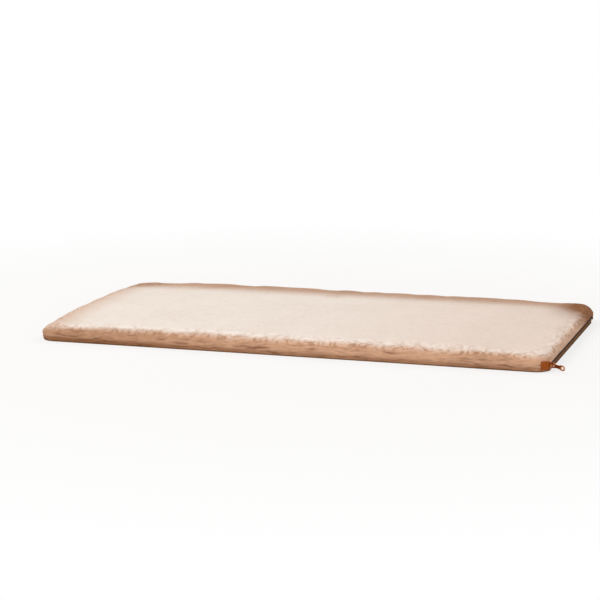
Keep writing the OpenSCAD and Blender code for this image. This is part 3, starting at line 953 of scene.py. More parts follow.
@dataclass
class PlushCover:
    """The zip-off plush cover: one panel over the top and the four sides, open along the zip."""

    form: PadForm
    zip_place: ZipPlace
    zones: PileZones = PileZones()
    fine: float = 4.3 * MM
    coarse: float = 8 * MM
    lining_square: float = 10 * MM
    swell: float = 1.1 * MM
    side_swell: float = 0.35
    spare: float = 0.4 * MM
    thickness: float = 3 * MM
    below: float = 9 * MM
    ripple_depth: float = 1.7 * MM
    ripple_length: float = 27 * MM
    ripple_height: float = 3.4 * MM
    curl_depth: float = 1.5 * MM
    curl_size: float = 9 * MM
    top_depth: float = 0.8 * MM
    top_lump: float = 6 * MM
    sway: float = 8 * MM
    sway_length: float = 16 * MM
    crests: PileCrests = PileCrests()
    notch_from: float = 40 * MM
    notch_room: float = 6 * MM

    def held(self, points: np.ndarray) -> np.ndarray:
        """Pins the panel at the seam and round the zip.

        Args:
            points: The panel's points.

        Returns:
            For each point, 1 where it is pinned and 0 where it is free.
        """
        x, y, z = points.T
        seam = 1 - rises(z, self.zones.seam_hold)
        at_zip = (
            rises(x, self.zones.zip_hold_in, self.form.half_length)
            * (1 - rises(np.abs(y), self.zones.zip_hold_past, self.zip_place.half_length))
            * (1 - rises(z, self.zones.zip_hold_above, self.zip_place.rim)))
        return np.maximum(seam, at_zip)

    def at_zip(self, body: bmesh.types.BMesh, room: float) -> list[bmesh.types.BMFace]:
        """Lists the faces in the opening for the zip.

        Args:
            body: The panel.
            room: How far round the opening a face's middle may lie.

        Returns:
            The faces.
        """
        start = self.form.half_length - self.notch_from
        end, top = self.zip_place.half_length + ZIP_GAP + room, self.zip_place.rim + room
        middles = ((face, face.calc_center_median()) for face in body.faces)
        return [face for face, c in middles if c.x > start and abs(c.y) < end and c.z < top]

    def trim(self, body: bmesh.types.BMesh) -> None:
        """Cuts the panel along the bottom seam and opens it along the zip.

        Args:
            body: The panel.
        """
        cut(body, (0, 0, self.form.seam_height), (0, 0, 1), drop=True)
        rim, end = self.zip_place.rim, self.zip_place.half_length + ZIP_GAP
        for place, across in (((0, end, 0), (0, 1, 0)), ((0, -end, 0), (0, 1, 0)), ((0, 0, rim), (0, 0, 1))):
            near = self.at_zip(body, self.notch_room)
            parts = {part for face in near for part in (*face.verts, *face.edges)}
            cut(body, place, across, [*parts, *near])
        bmesh.ops.delete(body, geom=self.at_zip(body, 0.0), context="FACES")

    def border(self, body: bmesh.types.BMesh, among: set) -> list[bmesh.types.BMVert]:
        """Walks round the open border of one skin.

        Args:
            body: The mesh.
            among: The skin's points.

        Returns:
            The border's points in order, counterclockwise from above.
        """
        edges = {v: [] for v in among}
        for e in body.edges:
            if e.is_boundary and e.verts[0] in edges:
                for v, other in (e.verts, reversed(e.verts)):
                    edges[v].append(other)
        corner = Vector((self.form.half_length, -self.zip_place.half_length, self.form.seam_height))
        start = min((v for v in edges if edges[v]), key=lambda v: (v.co - corner).length)
        loop, last = [start], None
        while True:
            step = [v for v in edges[loop[-1]] if v is not last]
            last = loop[-1]
            if not step or step[0] is start:
                break
            loop.append(step[0])
        area = sum(a.co.x * b.co.y - b.co.x * a.co.y for a, b in zip(loop, loop[1:] + loop[:1]))
        return loop if area > 0 else [loop[0], *reversed(loop[1:])]

    def close(self, body: bmesh.types.BMesh, outer: list, inner: list) -> None:
        """Joins the outer and inner skins with a strip of triangles along their borders.

        Args:
            body: The mesh that holds both skins.
            outer: The outer skin's border.
            inner: The inner skin's border, the same way round.
        """
        end, low, high = self.zip_place.half_length, self.form.seam_height, self.zip_place.rim
        corners = [
            Vector((self.form.half_length, y, z))
            for y, z in ((-end, low), (-end, high), (end, high), (end, low))]
        cuts = [
            sorted(min(range(len(loop)), key=lambda i: (loop[i].co - c).length) for c in corners)
            for loop in (outer, inner)]
        for k in range(4):
            runs = []
            for loop, at in zip((outer, inner), cuts):
                first, last = at[k], at[(k + 1) % 4]
                run = loop[first : last + 1] if last > first else loop[first:] + loop[: last + 1]
                steps = np.cumsum([0] + [(a.co - b.co).length for a, b in zip(run, run[1:])])
                runs.append((run, steps / max(steps[-1], TINY)))
            (a, ta), (b, tb) = runs
            i = j = 0
            while i < len(a) - 1 or j < len(b) - 1:
                if j == len(b) - 1 or (i < len(a) - 1 and ta[i + 1] <= tb[j + 1]):
                    corner = (a[i], b[j], a[i + 1])
                    i += 1
                else:
                    corner = (a[i], b[j], b[j + 1])
                    j += 1
                if len(set(corner)) == 3:
                    body.faces.new(corner)

    def nap(self) -> Growth:
        """Makes the tree that raises the pile: ripples on the sides, curls on the shoulder, lumps on top.

        Returns:
            The tree.
        """
        growth = Growth("plush_nap", {
            "Ripple depth": self.ripple_depth, "Ripple length": self.ripple_length,
            "Ripple height": self.ripple_height, "Curl depth": self.curl_depth, "Curl size": self.curl_size,
            "Top depth": self.top_depth, "Top lump": self.top_lump})
        add, given = growth.add, growth.given
        place = add("GeometryNodeInputPosition")[0]
        normal = add("GeometryNodeInputNormal")[0]
        noise = add("ShaderNodeTexNoise", {
            "Vector": place, "Scale": 1 / self.sway_length, "Detail": 1.0})["Color"]
        centred = add("ShaderNodeVectorMath", {0: noise, 1: (0.5, 0.5, 0.5)}, operation="SUBTRACT")[0]
        swayed = add(
            "ShaderNodeVectorMath", {0: centred, 1: (self.sway, self.sway, self.sway / 2), 2: place},
            operation="MULTIPLY_ADD")[0]
        waves = []
        for across, tall, detail in (
            ("Ripple length", "Ripple height", 2.0), ("Top lump", "Top lump", 2.0),
            ("Curl size", "Curl size", self.crests.curl_detail),
        ):
            size = add("ShaderNodeCombineXYZ", {0: given[across], 1: given[across], 2: given[tall]})[0]
            spot = add("ShaderNodeVectorMath", {0: swayed, 1: size}, operation="DIVIDE")[0]
            wave = add("ShaderNodeTexNoise", {"Vector": spot, "Scale": 1.0, "Detail": detail})["Fac"]
            level = add("ShaderNodeMath", {0: wave, 1: 0.5}, operation="SUBTRACT")[0]
            away = add("ShaderNodeMath", {0: level}, operation="ABSOLUTE")[0]
            waves.append((wave, away))
        # The pile stands in a ridge where its noise crosses its middle. On the top it swings half as far.
        crests = self.crests
        stands = []
        for (wave, away), share in zip(waves, (1.0, crests.top_share)):
            ridge = add(
                "ShaderNodeMath", {0: away, 1: crests.ridge_slope, 2: 1.0}, operation="MULTIPLY_ADD",
                use_clamp=True)[0]
            stand = crests.lowered
            for part, weight in ((ridge, crests.ridge_share), (wave, crests.wave_share)):
                stand = add("ShaderNodeMath", {0: part, 1: weight, 2: stand}, operation="MULTIPLY_ADD")[0]
            kept = crests.middle * (1 - share)
            stands.append(add("ShaderNodeMath", {0: stand, 1: share, 2: kept}, operation="MULTIPLY_ADD")[0])
        ripple, lump = stands
        # The curls are round and flat on top, with a groove where their noise crosses its middle.
        away = waves[2][1]
        curled = add(
            "ShaderNodeMath", {0: away, 1: crests.groove_slope, 2: crests.groove_floor},
            operation="MULTIPLY_ADD")[0]
        curl = add("ShaderNodeMath", {0: curled, 1: crests.curl_top}, operation="MINIMUM")[0]
        up = add("ShaderNodeSeparateXYZ", {0: normal})[2]
        level = add("ShaderNodeMapRange", {
            "Value": up, "From Min": crests.facing_up[0], "From Max": crests.facing_up[1]})["Result"]
        curly, loose = (
            add("GeometryNodeInputNamedAttribute", {"Name": name}, data_type="FLOAT")[0]
            for name in ("curly", "loose"))
        ends = []
        for side, top, shoulder in (
            (ripple, lump, curl), (given["Ripple depth"], given["Top depth"], given["Curl depth"]),
        ):
            plain = add("ShaderNodeMix", {"Factor": level, "A": side, "B": top})[0]
            ends.append(add("ShaderNodeMix", {"Factor": curly, "A": plain, "B": shoulder})[0])
        crest, depth = ends
        # A crest at the unmoved height stays where the cloth is, higher ones come out, lower ones go in.
        raised = add("ShaderNodeMath", {0: crest, 1: crests.unmoved}, operation="SUBTRACT")[0]
        free = add("ShaderNodeMath", {0: depth, 1: loose}, operation="MULTIPLY")[0]
        amount = add("ShaderNodeMath", {0: raised, 1: free}, operation="MULTIPLY")[0]
        offset = add("ShaderNodeVectorMath", {0: normal, "Scale": amount}, operation="SCALE")[0]
        noted = add(
            "GeometryNodeStoreNamedAttribute", {0: given["Geometry"], "Name": "crest", "Value": crest},
            data_type="FLOAT", domain="POINT")[0]
        growth.close(add("GeometryNodeSetPosition", {0: noted, "Offset": offset})[0], PLUSH)
        return growth

    def skin(self, fall: Fall) -> bpy.types.Mesh:
        """Makes the outer skin, swelled by the filling and in finer squares.

        Args:
            fall: The line that the panel follows over its edge.

        Returns:
            The skin, not yet trimmed.
        """
        shell = laid_panel(self.form, fall, self.fine, self.coarse, 0.0)
        held = self.held(points_of(shell.data))
        normals = np.array([v.normal for v in shell.data.vertices])
        share = self.side_swell + (1 - self.side_swell) * normals[:, 2] ** 2
        give = self.swell * (1 - held) * share
        place_points(shell.data, points_of(shell.data) - normals * give[:, None])
        ClothPress(self.swell + self.spare).swell(shell, held)
        finer = shell.modifiers.new("finer", "SUBSURF")
        finer.levels = finer.render_levels = 2
        graph = bpy.context.evaluated_depsgraph_get()
        made = bpy.data.meshes.new_from_object(shell.evaluated_get(graph), depsgraph=graph)
        bpy.data.objects.remove(shell)
        return made

    def bare(self) -> tuple[bpy.types.Mesh, np.ndarray]:
        """Trims the outer skin and the lining, and joins them along their borders.

        Returns:
            The cover without its pile, and the numbers of the lining's points.
        """
        fall = self.form.side(self.below)
        skin = self.skin(fall)
        lining = laid_panel(self.form, fall, self.lining_square, self.lining_square, self.thickness)
        with edited(lining.data) as body:
            self.trim(body)
            bmesh.ops.reverse_faces(body, faces=body.faces)
        with edited(skin) as body:
            self.trim(body)
            outside = set(body.verts)
            body.from_mesh(lining.data)
            inside = set(body.verts) - outside
            self.close(body, self.border(body, outside), self.border(body, inside))
            body.verts.index_update()
            inner = np.array(sorted(v.index for v in inside))
        bpy.data.objects.remove(lining)
        return skin, inner

    def mark(self, mesh: bpy.types.Mesh, inner: np.ndarray) -> None:
        """Notes at each point how the pile stands there and how much shade is painted on it.

        Args:
            mesh: The cover without its pile.
            inner: The numbers of the lining's points, which stay flat.
        """
        points = points_of(mesh)
        x, y, z = points.T
        zones, rim = self.zones, self.zip_place.rim
        half_length, half_width = self.form.half_length, self.form.half_width
        past_zip = (
            rises(x, zones.flat_in, half_length)
            * rises(np.abs(y), zones.flat_past, self.zip_place.half_length)
            * (1 - rises(z, zones.flat_above, rim)))
        loose = 1 - self.held(points)
        loose *= rises(z, zones.above_seam, self.form.seam_height)
        loose *= 1 - past_zip
        loose[inner] = 0
        inset = self.form.inset(x, y)
        # Painted shade: the sides, a band along the back and the left end take the sides' shaded colours.
        side = np.maximum(rises(-inset, zones.side_in), 1 - rises(z, zones.side_height))
        low = 1 - rises(z, zones.foot_height)
        back = zones.back_tone * rises(y, zones.back, half_width)
        left = rises(-x, zones.left, half_length)
        # Painted shade that grows towards the right end, in the sides' shaded colours.
        right_shade = zones.right_shade_tone * smoothstep(x, zones.right_shade_from * half_length, half_length)
        dim = smoothstep(-x, 0, zones.dim_to * half_length) * (1 - smoothstep(y, -half_width, 0))
        corner = rises(x, zones.corner_x, half_length) * rises(y, zones.corner_y, half_width)
        smooth = zones.smooth_share * rises(y, zones.smooth_back, half_width)
        # The deeper painted shade: along the back, in the back right corner, at the foot of the sides and on
        # the left of the front side.
        painted_shade = (
            zones.back_painted_shade * back + zones.corner_painted_shade * corner + zones.foot_painted_shade * low * side
            + zones.dim_painted_shade * dim * side)
        write_attribute(mesh, "loose", loose * (1 - smooth * rises(z, zones.top_height)))
        write_attribute(mesh, "curly", rises(z, zones.curl_height) * (1 - rises(inset, zones.curl_in)))
        write_attribute(mesh, "painted_side_shade", np.maximum.reduce([side, back, zones.left_tone * left, right_shade]))
        write_attribute(mesh, "painted_shade", np.clip(painted_shade, 0, 1))

    def build(self) -> Iterator[bpy.types.Object]:
        """Makes the cover.

        Yields:
            The cover.
        """
        mesh, inner = self.bare()
        self.mark(mesh, inner)
        cover = self.nap().run(new_piece("bare_cover", mesh), "plush_cover")
        settle(cover, PLUSH, Body.PAD, "top_cover")
        yield cover


def ring_sheet(rings: list[np.ndarray]) -> bpy.types.Mesh:
    """Joins closed lines into a sheet, and fills the last of them.

    Args:
        rings: Lines of equal length, from the sheet's edge inwards, counterclockwise from above.

    Returns:
        The sheet, facing down and out.
    """
    count = len(rings[0])
    faces = [
        (i * count + j, (i + 1) * count + j, (i + 1) * count + (j + 1) % count, i * count + (j + 1) % count)
        for i in range(len(rings) - 1) for j in range(count)]
    last = (len(rings) - 1) * count
    faces.append(tuple(last + j for j in reversed(range(count))))
    return mesh_of("sheet", np.concatenate(rings), faces)


def cut_across(mesh: bpy.types.Mesh, axis: int, places: Iterable[float]) -> None:
    """Cuts a mesh's faces along planes square to an axis, and keeps every piece.

    Args:
        mesh: The mesh.
        axis: The axis's number.
        places: Where the planes lie on the axis.
    """
    way = [0.0, 0.0, 0.0]
    way[axis] = 1.0
    with edited(mesh) as body:
        for place in places:
            cut(body, [place * w for w in way], way)


def applied(piece: bpy.types.Object) -> bpy.types.Object:
    """Turns a piece with modifiers into a plain mesh.

    Args:
        piece: The piece, which is used up.

    Returns:
        The plain piece, of the same name.
    """
    graph = bpy.context.evaluated_depsgraph_get()
    made = bpy.data.meshes.new_from_object(
        piece.evaluated_get(graph), preserve_all_data_layers=True, depsgraph=graph)
    name = piece.name
    bpy.data.objects.remove(piece)
    return new_piece(name, made)


def thickened(piece: bpy.types.Object, thickness: float) -> bpy.types.Object:
    """Gives a sheet its thickness on its inner side.

    Args:
        piece: The sheet, which is used up.
        thickness: How thick it gets.

    Returns:
        The thick sheet.
    """
    skin = piece.modifiers.new("thickness", "SOLIDIFY")
    skin.thickness = thickness
    skin.offset = -1.0
    return applied(piece)


def node_copy(node: str, name: str) -> bpy.types.Object:
    """Copies one of the frame's nodes, with its doubled points merged.

    Args:
        node: The node's name.
        name: The copy's name.

    Returns:
        The copy.
    """
    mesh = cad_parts[node].data.copy()
    with edited(mesh) as body:
        bmesh.ops.remove_doubles(body, verts=body.verts, dist=WELD_REACH)
    return new_piece(name, mesh, smooth=False)


@dataclass
class StripPlace:
    """Where one pair of hook and loop strips lies."""

    low: Vector
    high: Vector

    @classmethod
    def of_frame(cls) -> "list[StripPlace]":
        """Measures both pairs in the frame."""
        return [
            cls(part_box(f"hook_strip_{side}")[0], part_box(f"loop_strip_{side}")[1])
            for side in ("front", "back")]

    def raise_pocket(self, mesh: bpy.types.Mesh, play: float, wall: float, rise: float) -> None:
        """Presses a pocket for the strips into a flat sheet.

        Args:
            mesh: The sheet.
            play: Distance from the strips to the pocket's wall.
            wall: How far the wall leans out.
            rise: How much higher the pocket's roof lies than the sheet.
        """
        for axis in (0, 1):
            ends = (self.low[axis] - play, self.high[axis] + play)
            cut_across(mesh, axis, (ends[0] - wall, ends[0], ends[1], ends[1] + wall))
        points = points_of(mesh)
        reach = play + EDGE_REACH
        inside = np.all([
            (points[:, k] > self.low[k] - reach) & (points[:, k] < self.high[k] + reach)
            for k in (0, 1)], axis=0)
        points[inside, 2] += rise
        place_points(mesh, points)


@dataclass
class BaseCloth:
    """The woven underside: a flat sheet, turned up over the seam, with a pocket for each pair of strips."""

    form: PadForm
    zip_place: ZipPlace
    strips: list[StripPlace]
    thickness: float = 0.8 * MM
    bead: float = 1.1 * MM
    proud: float = 0.9 * MM
    spacing: float = 4 * MM
    square: float = 15 * MM
    turns: tuple[int, ...] = (150, 120, 90, 60, 30, 0)
    inner_rings: tuple[float, ...] = (4 * MM, 9 * MM)
    zip_in: Range = (-12 * MM, -8 * MM)
    zip_past: Range = (0.0, 3 * MM)
    zip_share: float = 0.6
    pocket_play: float = 0.4 * MM
    pocket_wall: float = 0.7 * MM
    pocket_gap: float = 0.05 * MM
    seam_in: float = 3 * MM
    pocket_seam_out: float = 2.4 * MM
    stitch_height: float = 0.22 * MM

    def rings(self) -> list[np.ndarray]:
        """Rolls the sheet's edge up over the seam, except along the zip.

        Returns:
            The sheet's lines, from its edge inwards.
        """
        form = self.form
        rings = []
        for turn in self.turns:
            a = math.radians(turn)
            over, height = self.bead * (1 - math.sin(a)), self.bead * (1 - math.cos(a))
            ring = form.outline(form.seam_inset - self.proud + over, height, self.spacing)
            pressed = min(height, self.zip_share * self.bead)
            flat = form.outline(form.seam_inset + over, pressed, self.spacing)
            low = rises(ring[:, 0], self.zip_in, form.half_length) * (
                1 - rises(np.abs(ring[:, 1]), self.zip_past, self.zip_place.half_length))
            rings.append(ring + (flat - ring) * low[:, None])
        for inset in self.inner_rings:
            rings.append(form.outline(form.seam_inset + inset, 0.0, self.spacing))
        return rings

    def build(self) -> Iterator[bpy.types.Object]:
        """Makes the underside and its seams.

        Yields:
            The sheet and the stitches.
        """
        mesh = ring_sheet(self.rings())
        for axis, half in ((0, self.form.half_length), (1, self.form.half_width)):
            steps = math.ceil(2 * half / self.square)
            cut_across(mesh, axis, np.linspace(-half, half, steps + 1)[1:-1])
        for strip in self.strips:
            strip.raise_pocket(mesh, self.pocket_play, self.pocket_wall, strip.high.z + self.pocket_gap)
        sheet = thickened(new_piece("base_cloth", mesh), self.thickness)
        points = points_of(sheet.data)
        points[:, 2] = np.maximum(points[:, 2], 0)
        place_points(sheet.data, points)
        settle(sheet, BASE_CLOTH, Body.PAD, "base_panel")
        yield sheet
        seam = self.form.outline(self.form.seam_inset + self.seam_in, self.stitch_height, self.spacing)
        yield settle(Stitching("seam_stitches").along(seam), THREAD, Body.PAD)
        for strip, side in zip(self.strips, ("front", "back")):
            around = np.array([
                (strip.low.x, strip.low.y), (strip.high.x, strip.low.y), (strip.high.x, strip.high.y),
                (strip.low.x, strip.high.y)])
            line = around + self.pocket_seam_out * np.sign(around - around.mean(axis=0))
            path = np.column_stack([line, np.full(len(line), self.stitch_height)])
            yield settle(Stitching(f"pocket_stitches_{side}").along(path), THREAD, Body.PAD)


@dataclass
class Stitching:
    """A row of thread stitches along a closed line."""

    name: str
    pitch: float = 4 * MM
    stitch: float = 2.6 * MM
    thread: float = 0.2 * MM
    sides: int = 5

    def along(self, line: np.ndarray) -> bpy.types.Object:
        """Sews along a line.

        Args:
            line: The closed line's points.

        Returns:
            The stitches as one piece.
        """
        growth = Growth("stitches", {
            "Pitch": self.pitch, "Stitch length": self.stitch, "Thread radius": self.thread})
        add, given = growth.add, growth.given
        curve = add("GeometryNodeMeshToCurve", {0: given["Geometry"]})[0]
        spaced = add("GeometryNodeResampleCurve", {0: curve, "Length": given["Pitch"]}, mode="LENGTH")[0]
        ends = []
        for share in (-0.5, 0.5):
            reach = add("ShaderNodeMath", {0: given["Stitch length"], 1: share}, operation="MULTIPLY")[0]
            ends.append(add("ShaderNodeCombineXYZ", {0: reach})[0])
        straight = add("GeometryNodeCurvePrimitiveLine", {"Start": ends[0], "End": ends[1]})[0]
        ring = add("GeometryNodeCurvePrimitiveCircle", {
            "Resolution": self.sides, "Radius": given["Thread radius"]})[0]
        stitch = add("GeometryNodeCurveToMesh", {0: straight, 1: ring, "Fill Caps": True})[0]
        heading = add("GeometryNodeInputTangent")[0]
        turn = add("FunctionNodeAlignRotationToVector", {"Vector": heading}, axis="X")[0]
        sewn = add("GeometryNodeInstanceOnPoints", {
            "Points": spaced, "Instance": stitch, "Rotation": turn})[0]
        growth.close(sewn, THREAD)
        mesh = bpy.data.meshes.new("line")
        count = len(line)
        mesh.from_pydata([tuple(p) for p in line], [(i, (i + 1) % count) for i in range(count)], [])
        return growth.run(new_piece("line", mesh), self.name)


@dataclass
class Filling:
    """The foam slab and the wadding over it."""

    grain: float = 4 * MM
    hollow: float = 0.5 * MM
    lump: float = 14 * MM
    smoothings: int = 2

    def soft(self, node: str, name: str, finish: Finish) -> bpy.types.Object:
        """Makes a soft, slightly uneven solid in a node's place.

        Args:
            node: The frame's node.
            name: The piece's name.
            finish: What it is made of.

        Returns:
            The piece.
        """
        growth = Growth(f"{name}_lumps", {"Hollow depth": self.hollow, "Lump size": self.lump})
        add, given = growth.add, growth.given
        place = add("GeometryNodeInputPosition")[0]
        size = add("ShaderNodeCombineXYZ", {k: given["Lump size"] for k in range(3)})[0]
        spot = add("ShaderNodeVectorMath", {0: place, 1: size}, operation="DIVIDE")[0]
        lumps = add("ShaderNodeTexNoise", {"Vector": spot, "Scale": 1.0, "Detail": 2.0})["Fac"]
        sunk = add("ShaderNodeMath", {0: lumps, 1: given["Hollow depth"]}, operation="MULTIPLY")[0]
        inward = add("ShaderNodeMath", {0: sunk, 1: -1.0}, operation="MULTIPLY")[0]
        normal = add("GeometryNodeInputNormal")[0]
        offset = add("ShaderNodeVectorMath", {0: normal, "Scale": inward}, operation="SCALE")[0]
        moved = add("GeometryNodeSetPosition", {0: given["Geometry"], "Offset": offset})[0]
        growth.close(moved, finish)
        piece = node_copy(node, name)
        grains = piece.modifiers.new("grain", "REMESH")
        grains.mode = "VOXEL"
        grains.voxel_size = self.grain
        piece.modifiers.new("smooth", "SMOOTH").iterations = self.smoothings
        return growth.run(piece, name)

    def build(self) -> Iterator[bpy.types.Object]:
        """Makes the filling.

        Yields:
            The foam slab and the wadding.
        """
        for node, name, finish, fill in (
            ("foam_core", "foam_slab", FOAM, 0.95), ("wadding_layer", "wadding_sheet", WADDING, 0.8),
        ):
            layer = settle(self.soft(node, name, finish), finish, Body.PAD, node)
            yield layer


@dataclass
class Case:
    """The inner case of thin non-woven cloth round the foam and the wadding."""

    form: PadForm
    strips: list[StripPlace]
    fine: float = 5 * MM
    coarse: float = 12 * MM
    thickness: float = 0.5 * MM
    below: float = 8 * MM
    lift: float = 0.02 * MM
    spacing: float = 4 * MM
    square: float = 20 * MM
    ring_insets: tuple[float, ...] = (0.0, 2 * MM, 5 * MM)
    pocket_play: float = 1.9 * MM
    pocket_wall: float = 0.7 * MM
    pocket_gap: float = 0.06 * MM

    def upper(self) -> bpy.types.Object:
        """Lays the upper half over the wadding.

        Returns:
            The upper half.
        """
        low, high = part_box("liner_top")
        depth = self.form.half_length + low.x
        shell = laid_panel(self.form, self.form.side(self.below), self.fine, self.coarse, depth)
        points = points_of(shell.data)
        squeeze = high.x / (self.form.half_length - depth)
        points[:, 0] *= np.where(points[:, 0] > 0, squeeze, 1.0)
        place_points(shell.data, points)
        with edited(shell.data) as body:
            cut(body, (0, 0, low.z + self.lift), (0, 0, 1), drop=True)
        shell.name = "case_top"
        return thickened(shell, self.thickness)

    def lower(self) -> bpy.types.Object:
        """Lays the lower half on the underside, with room for the pockets.

        Returns:
            The lower half.
        """
        low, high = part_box("liner_bottom")
        inset = self.form.half_length + low.x
        mesh = ring_sheet([
            self.form.outline(inset + d, low.z + self.lift, self.spacing) for d in self.ring_insets])
        points = points_of(mesh)
        points[:, 0] *= np.where(points[:, 0] > 0, high.x / -low.x, 1.0)
        place_points(mesh, points)
        for axis, half in ((0, self.form.half_length), (1, self.form.half_width)):
            cut_across(mesh, axis, np.arange(-half + self.square, half, self.square))
        rise = high.z - self.thickness - low.z - self.pocket_gap
        for strip in self.strips:
            strip.raise_pocket(mesh, self.pocket_play, self.pocket_wall, rise)
        return thickened(new_piece("case_bottom", mesh), self.thickness)

    def build(self) -> Iterator[bpy.types.Object]:
        """Makes the case.

        Yields:
            Its upper and its lower half.
        """
        down = self.form.side(0.0).along[-1] - self.form.shoulder
        upper = settle(self.upper(), CASE, Body.PAD, "liner_top")
        yield upper
        lower = settle(self.lower(), CASE, Body.PAD, "liner_bottom")
        yield lower


@dataclass(frozen=True)
class Bend:
    """How a bristle bends: it is part of a ring, raised and stretched, in a bristle's heights."""

    kept: float
    lift: float
    stretch: float


HOOK = Bend(kept=0.7, lift=0.45, stretch=1.0)
LOOP = Bend(kept=0.55, lift=0.2, stretch=-1.2)


@dataclass
class Gripping:
    """One hook or loop strip: a backing tape with a field of bent bristles.

    The bristles stand much further apart than on a real strip, and the loops are thicker than real ones.
    """

    node: str
    finish: Finish
    hooked: bool
    backing: float = 0.5 * MM
    pitch: float = 2.5 * MM
    bristle: float = 0.11 * MM
    margin: float = 3 * MM
    sway: float = 0.5
    seed: int = 7
    round_off: float = 3 * MM
    round_steps: int = 5
    square: float = 5 * MM
    bend_steps: int = 8
    sides: int = 3

    def tape(self) -> bpy.types.Mesh:
        """Makes the backing tape, closed and with round corners.

        Returns:
            The tape's mesh.
        """
        low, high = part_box(self.node)
        half = np.array([(high.x - low.x) / 2, (high.y - low.y) / 2])
        middle = np.array([(high.x + low.x) / 2, (high.y + low.y) / 2])
        core = half - self.round_off
        edge = [
            middle + np.array(signs) * core + self.round_off * np.array([math.cos(a), math.sin(a)])
            for k, signs in enumerate(QUARTERS)
            for a in ((k + i / self.round_steps) * math.pi / 2 for i in range(self.round_steps + 1))]
        bottom = low.z if self.hooked else high.z - self.backing
        count = len(edge)
        points = [(*p, z) for z in (bottom, bottom + self.backing) for p in edge]
        faces = [tuple(reversed(range(count))), tuple(range(count, 2 * count))]
        faces += [(j, (j + 1) % count, count + (j + 1) % count, count + j) for j in range(count)]
        mesh = mesh_of("tape", np.array(points), faces)
        cut_across(mesh, 0, np.arange(low.x + self.square, high.x, self.square))
        return mesh

    def field(self) -> Growth:
        """Makes the tree that sets the bristles in rows on the tape's gripping side.

        Returns:
            The tree.
        """
        low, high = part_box(self.node)
        bend = HOOK if self.hooked else LOOP
        room = (high.z - low.z) - self.backing
        growth = Growth(f"{self.node}_bristles", {
            "Bristle height": room - self.bristle, "Bristle radius": self.bristle, "Pitch": self.pitch})
        add, given = growth.add, growth.given
        counts = [int((high[k] - low[k] - self.margin) / self.pitch) for k in (0, 1)]
        spans = [
            add("ShaderNodeMath", {0: given["Pitch"], 1: float(count)}, operation="MULTIPLY")[0]
            for count in counts]
        grid = add("GeometryNodeMeshGrid", {
            "Size X": spans[0], "Size Y": spans[1],
            "Vertices X": counts[0] + 1, "Vertices Y": counts[1] + 1})[0]
        foot = low.z + self.backing if self.hooked else high.z - self.backing
        laid = add("GeometryNodeTransform", {0: grid, "Translation": (
            (low.x + high.x) / 2, (low.y + high.y) / 2, foot)})[0]
        bent = add("GeometryNodeCurvePrimitiveCircle", {"Resolution": self.bend_steps, "Radius": 0.5})[0]
        opened = add("GeometryNodeTrimCurve", {"Curve": bent, 2: 0.0, 3: bend.kept}, mode="FACTOR")[0]
        upright = add("GeometryNodeTransform", {
            0: opened, "Translation": (0, 0, bend.lift), "Rotation": (math.pi / 2, 0, 0)})[0]
        rise = add("ShaderNodeMath", {0: given["Bristle height"], 1: bend.stretch}, operation="MULTIPLY")[0]
        tall = add("ShaderNodeCombineXYZ", {
            0: given["Bristle height"], 1: given["Bristle height"], 2: rise})[0]
        sized = add("GeometryNodeTransform", {0: upright, "Scale": tall})[0]
        ring = add("GeometryNodeCurvePrimitiveCircle", {
            "Resolution": self.sides, "Radius": given["Bristle radius"]})[0]
        bristle = add("GeometryNodeCurveToMesh", {0: sized, 1: ring, "Fill Caps": True})[0]
        turn = add(
            "FunctionNodeRandomValue",
            {0: (0.0, 0.0, -self.sway), 1: (0.0, 0.0, self.sway), "Seed": self.seed},
            data_type="FLOAT_VECTOR")[0]
        rows = add("GeometryNodeInstanceOnPoints", {
            "Points": laid, "Instance": bristle, "Rotation": turn})[0]
        joined = add("GeometryNodeJoinGeometry", {0: rows})[0]
        growth.tree.links.new(given["Geometry"], joined.node.inputs[0])
        growth.close(joined, self.finish)
        return growth

    def build(self) -> Iterator[bpy.types.Object]:
        """Makes the strip.

        Yields:
            The strip.
        """
        low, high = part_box(self.node)
        strip = self.field().run(new_piece("tape", self.tape(), smooth=False), f"{self.node}_tape")
        settle(strip, self.finish, Body.PAD, self.node)
        yield strip


@dataclass
class ZipTape:
    """One woven tape of the zip, a little wavy outside its teeth."""

    node: str
    flat: tuple[float, float]
    area: float
    ripple: float = 0.15 * MM
    wave: float = 22 * MM
    step: float = 4 * MM
    end_gap: float = 1 * MM
    free_above: Range = (1 * MM, 3 * MM)
    free_below: Range = (-1.2 * MM, -0.7 * MM)

    def build(self) -> Iterator[bpy.types.Object]:
        """Makes the tape.

        Yields:
            The tape.
        """
        piece = node_copy(self.node, f"{self.node}_cloth")
        low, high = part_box(self.node)
        teeth_low, teeth_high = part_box("zip_teeth_lower")[0].z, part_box("zip_teeth_upper")[1].z
        cut_across(piece.data, 1, np.arange(low.y + self.step, high.y - self.end_gap, self.step))
        points = points_of(piece.data)
        free = np.maximum(
            rises(points[:, 2], self.free_above, teeth_high),
            1 - rises(points[:, 2], self.free_below, teeth_low))
        points[:, 0] -= free * self.ripple * (1 + np.sin(2 * math.pi * points[:, 1] / self.wave))
        place_points(piece.data, points)
        settle(piece, ZIP_TAPE, Body.PAD, self.node)
        yield piece


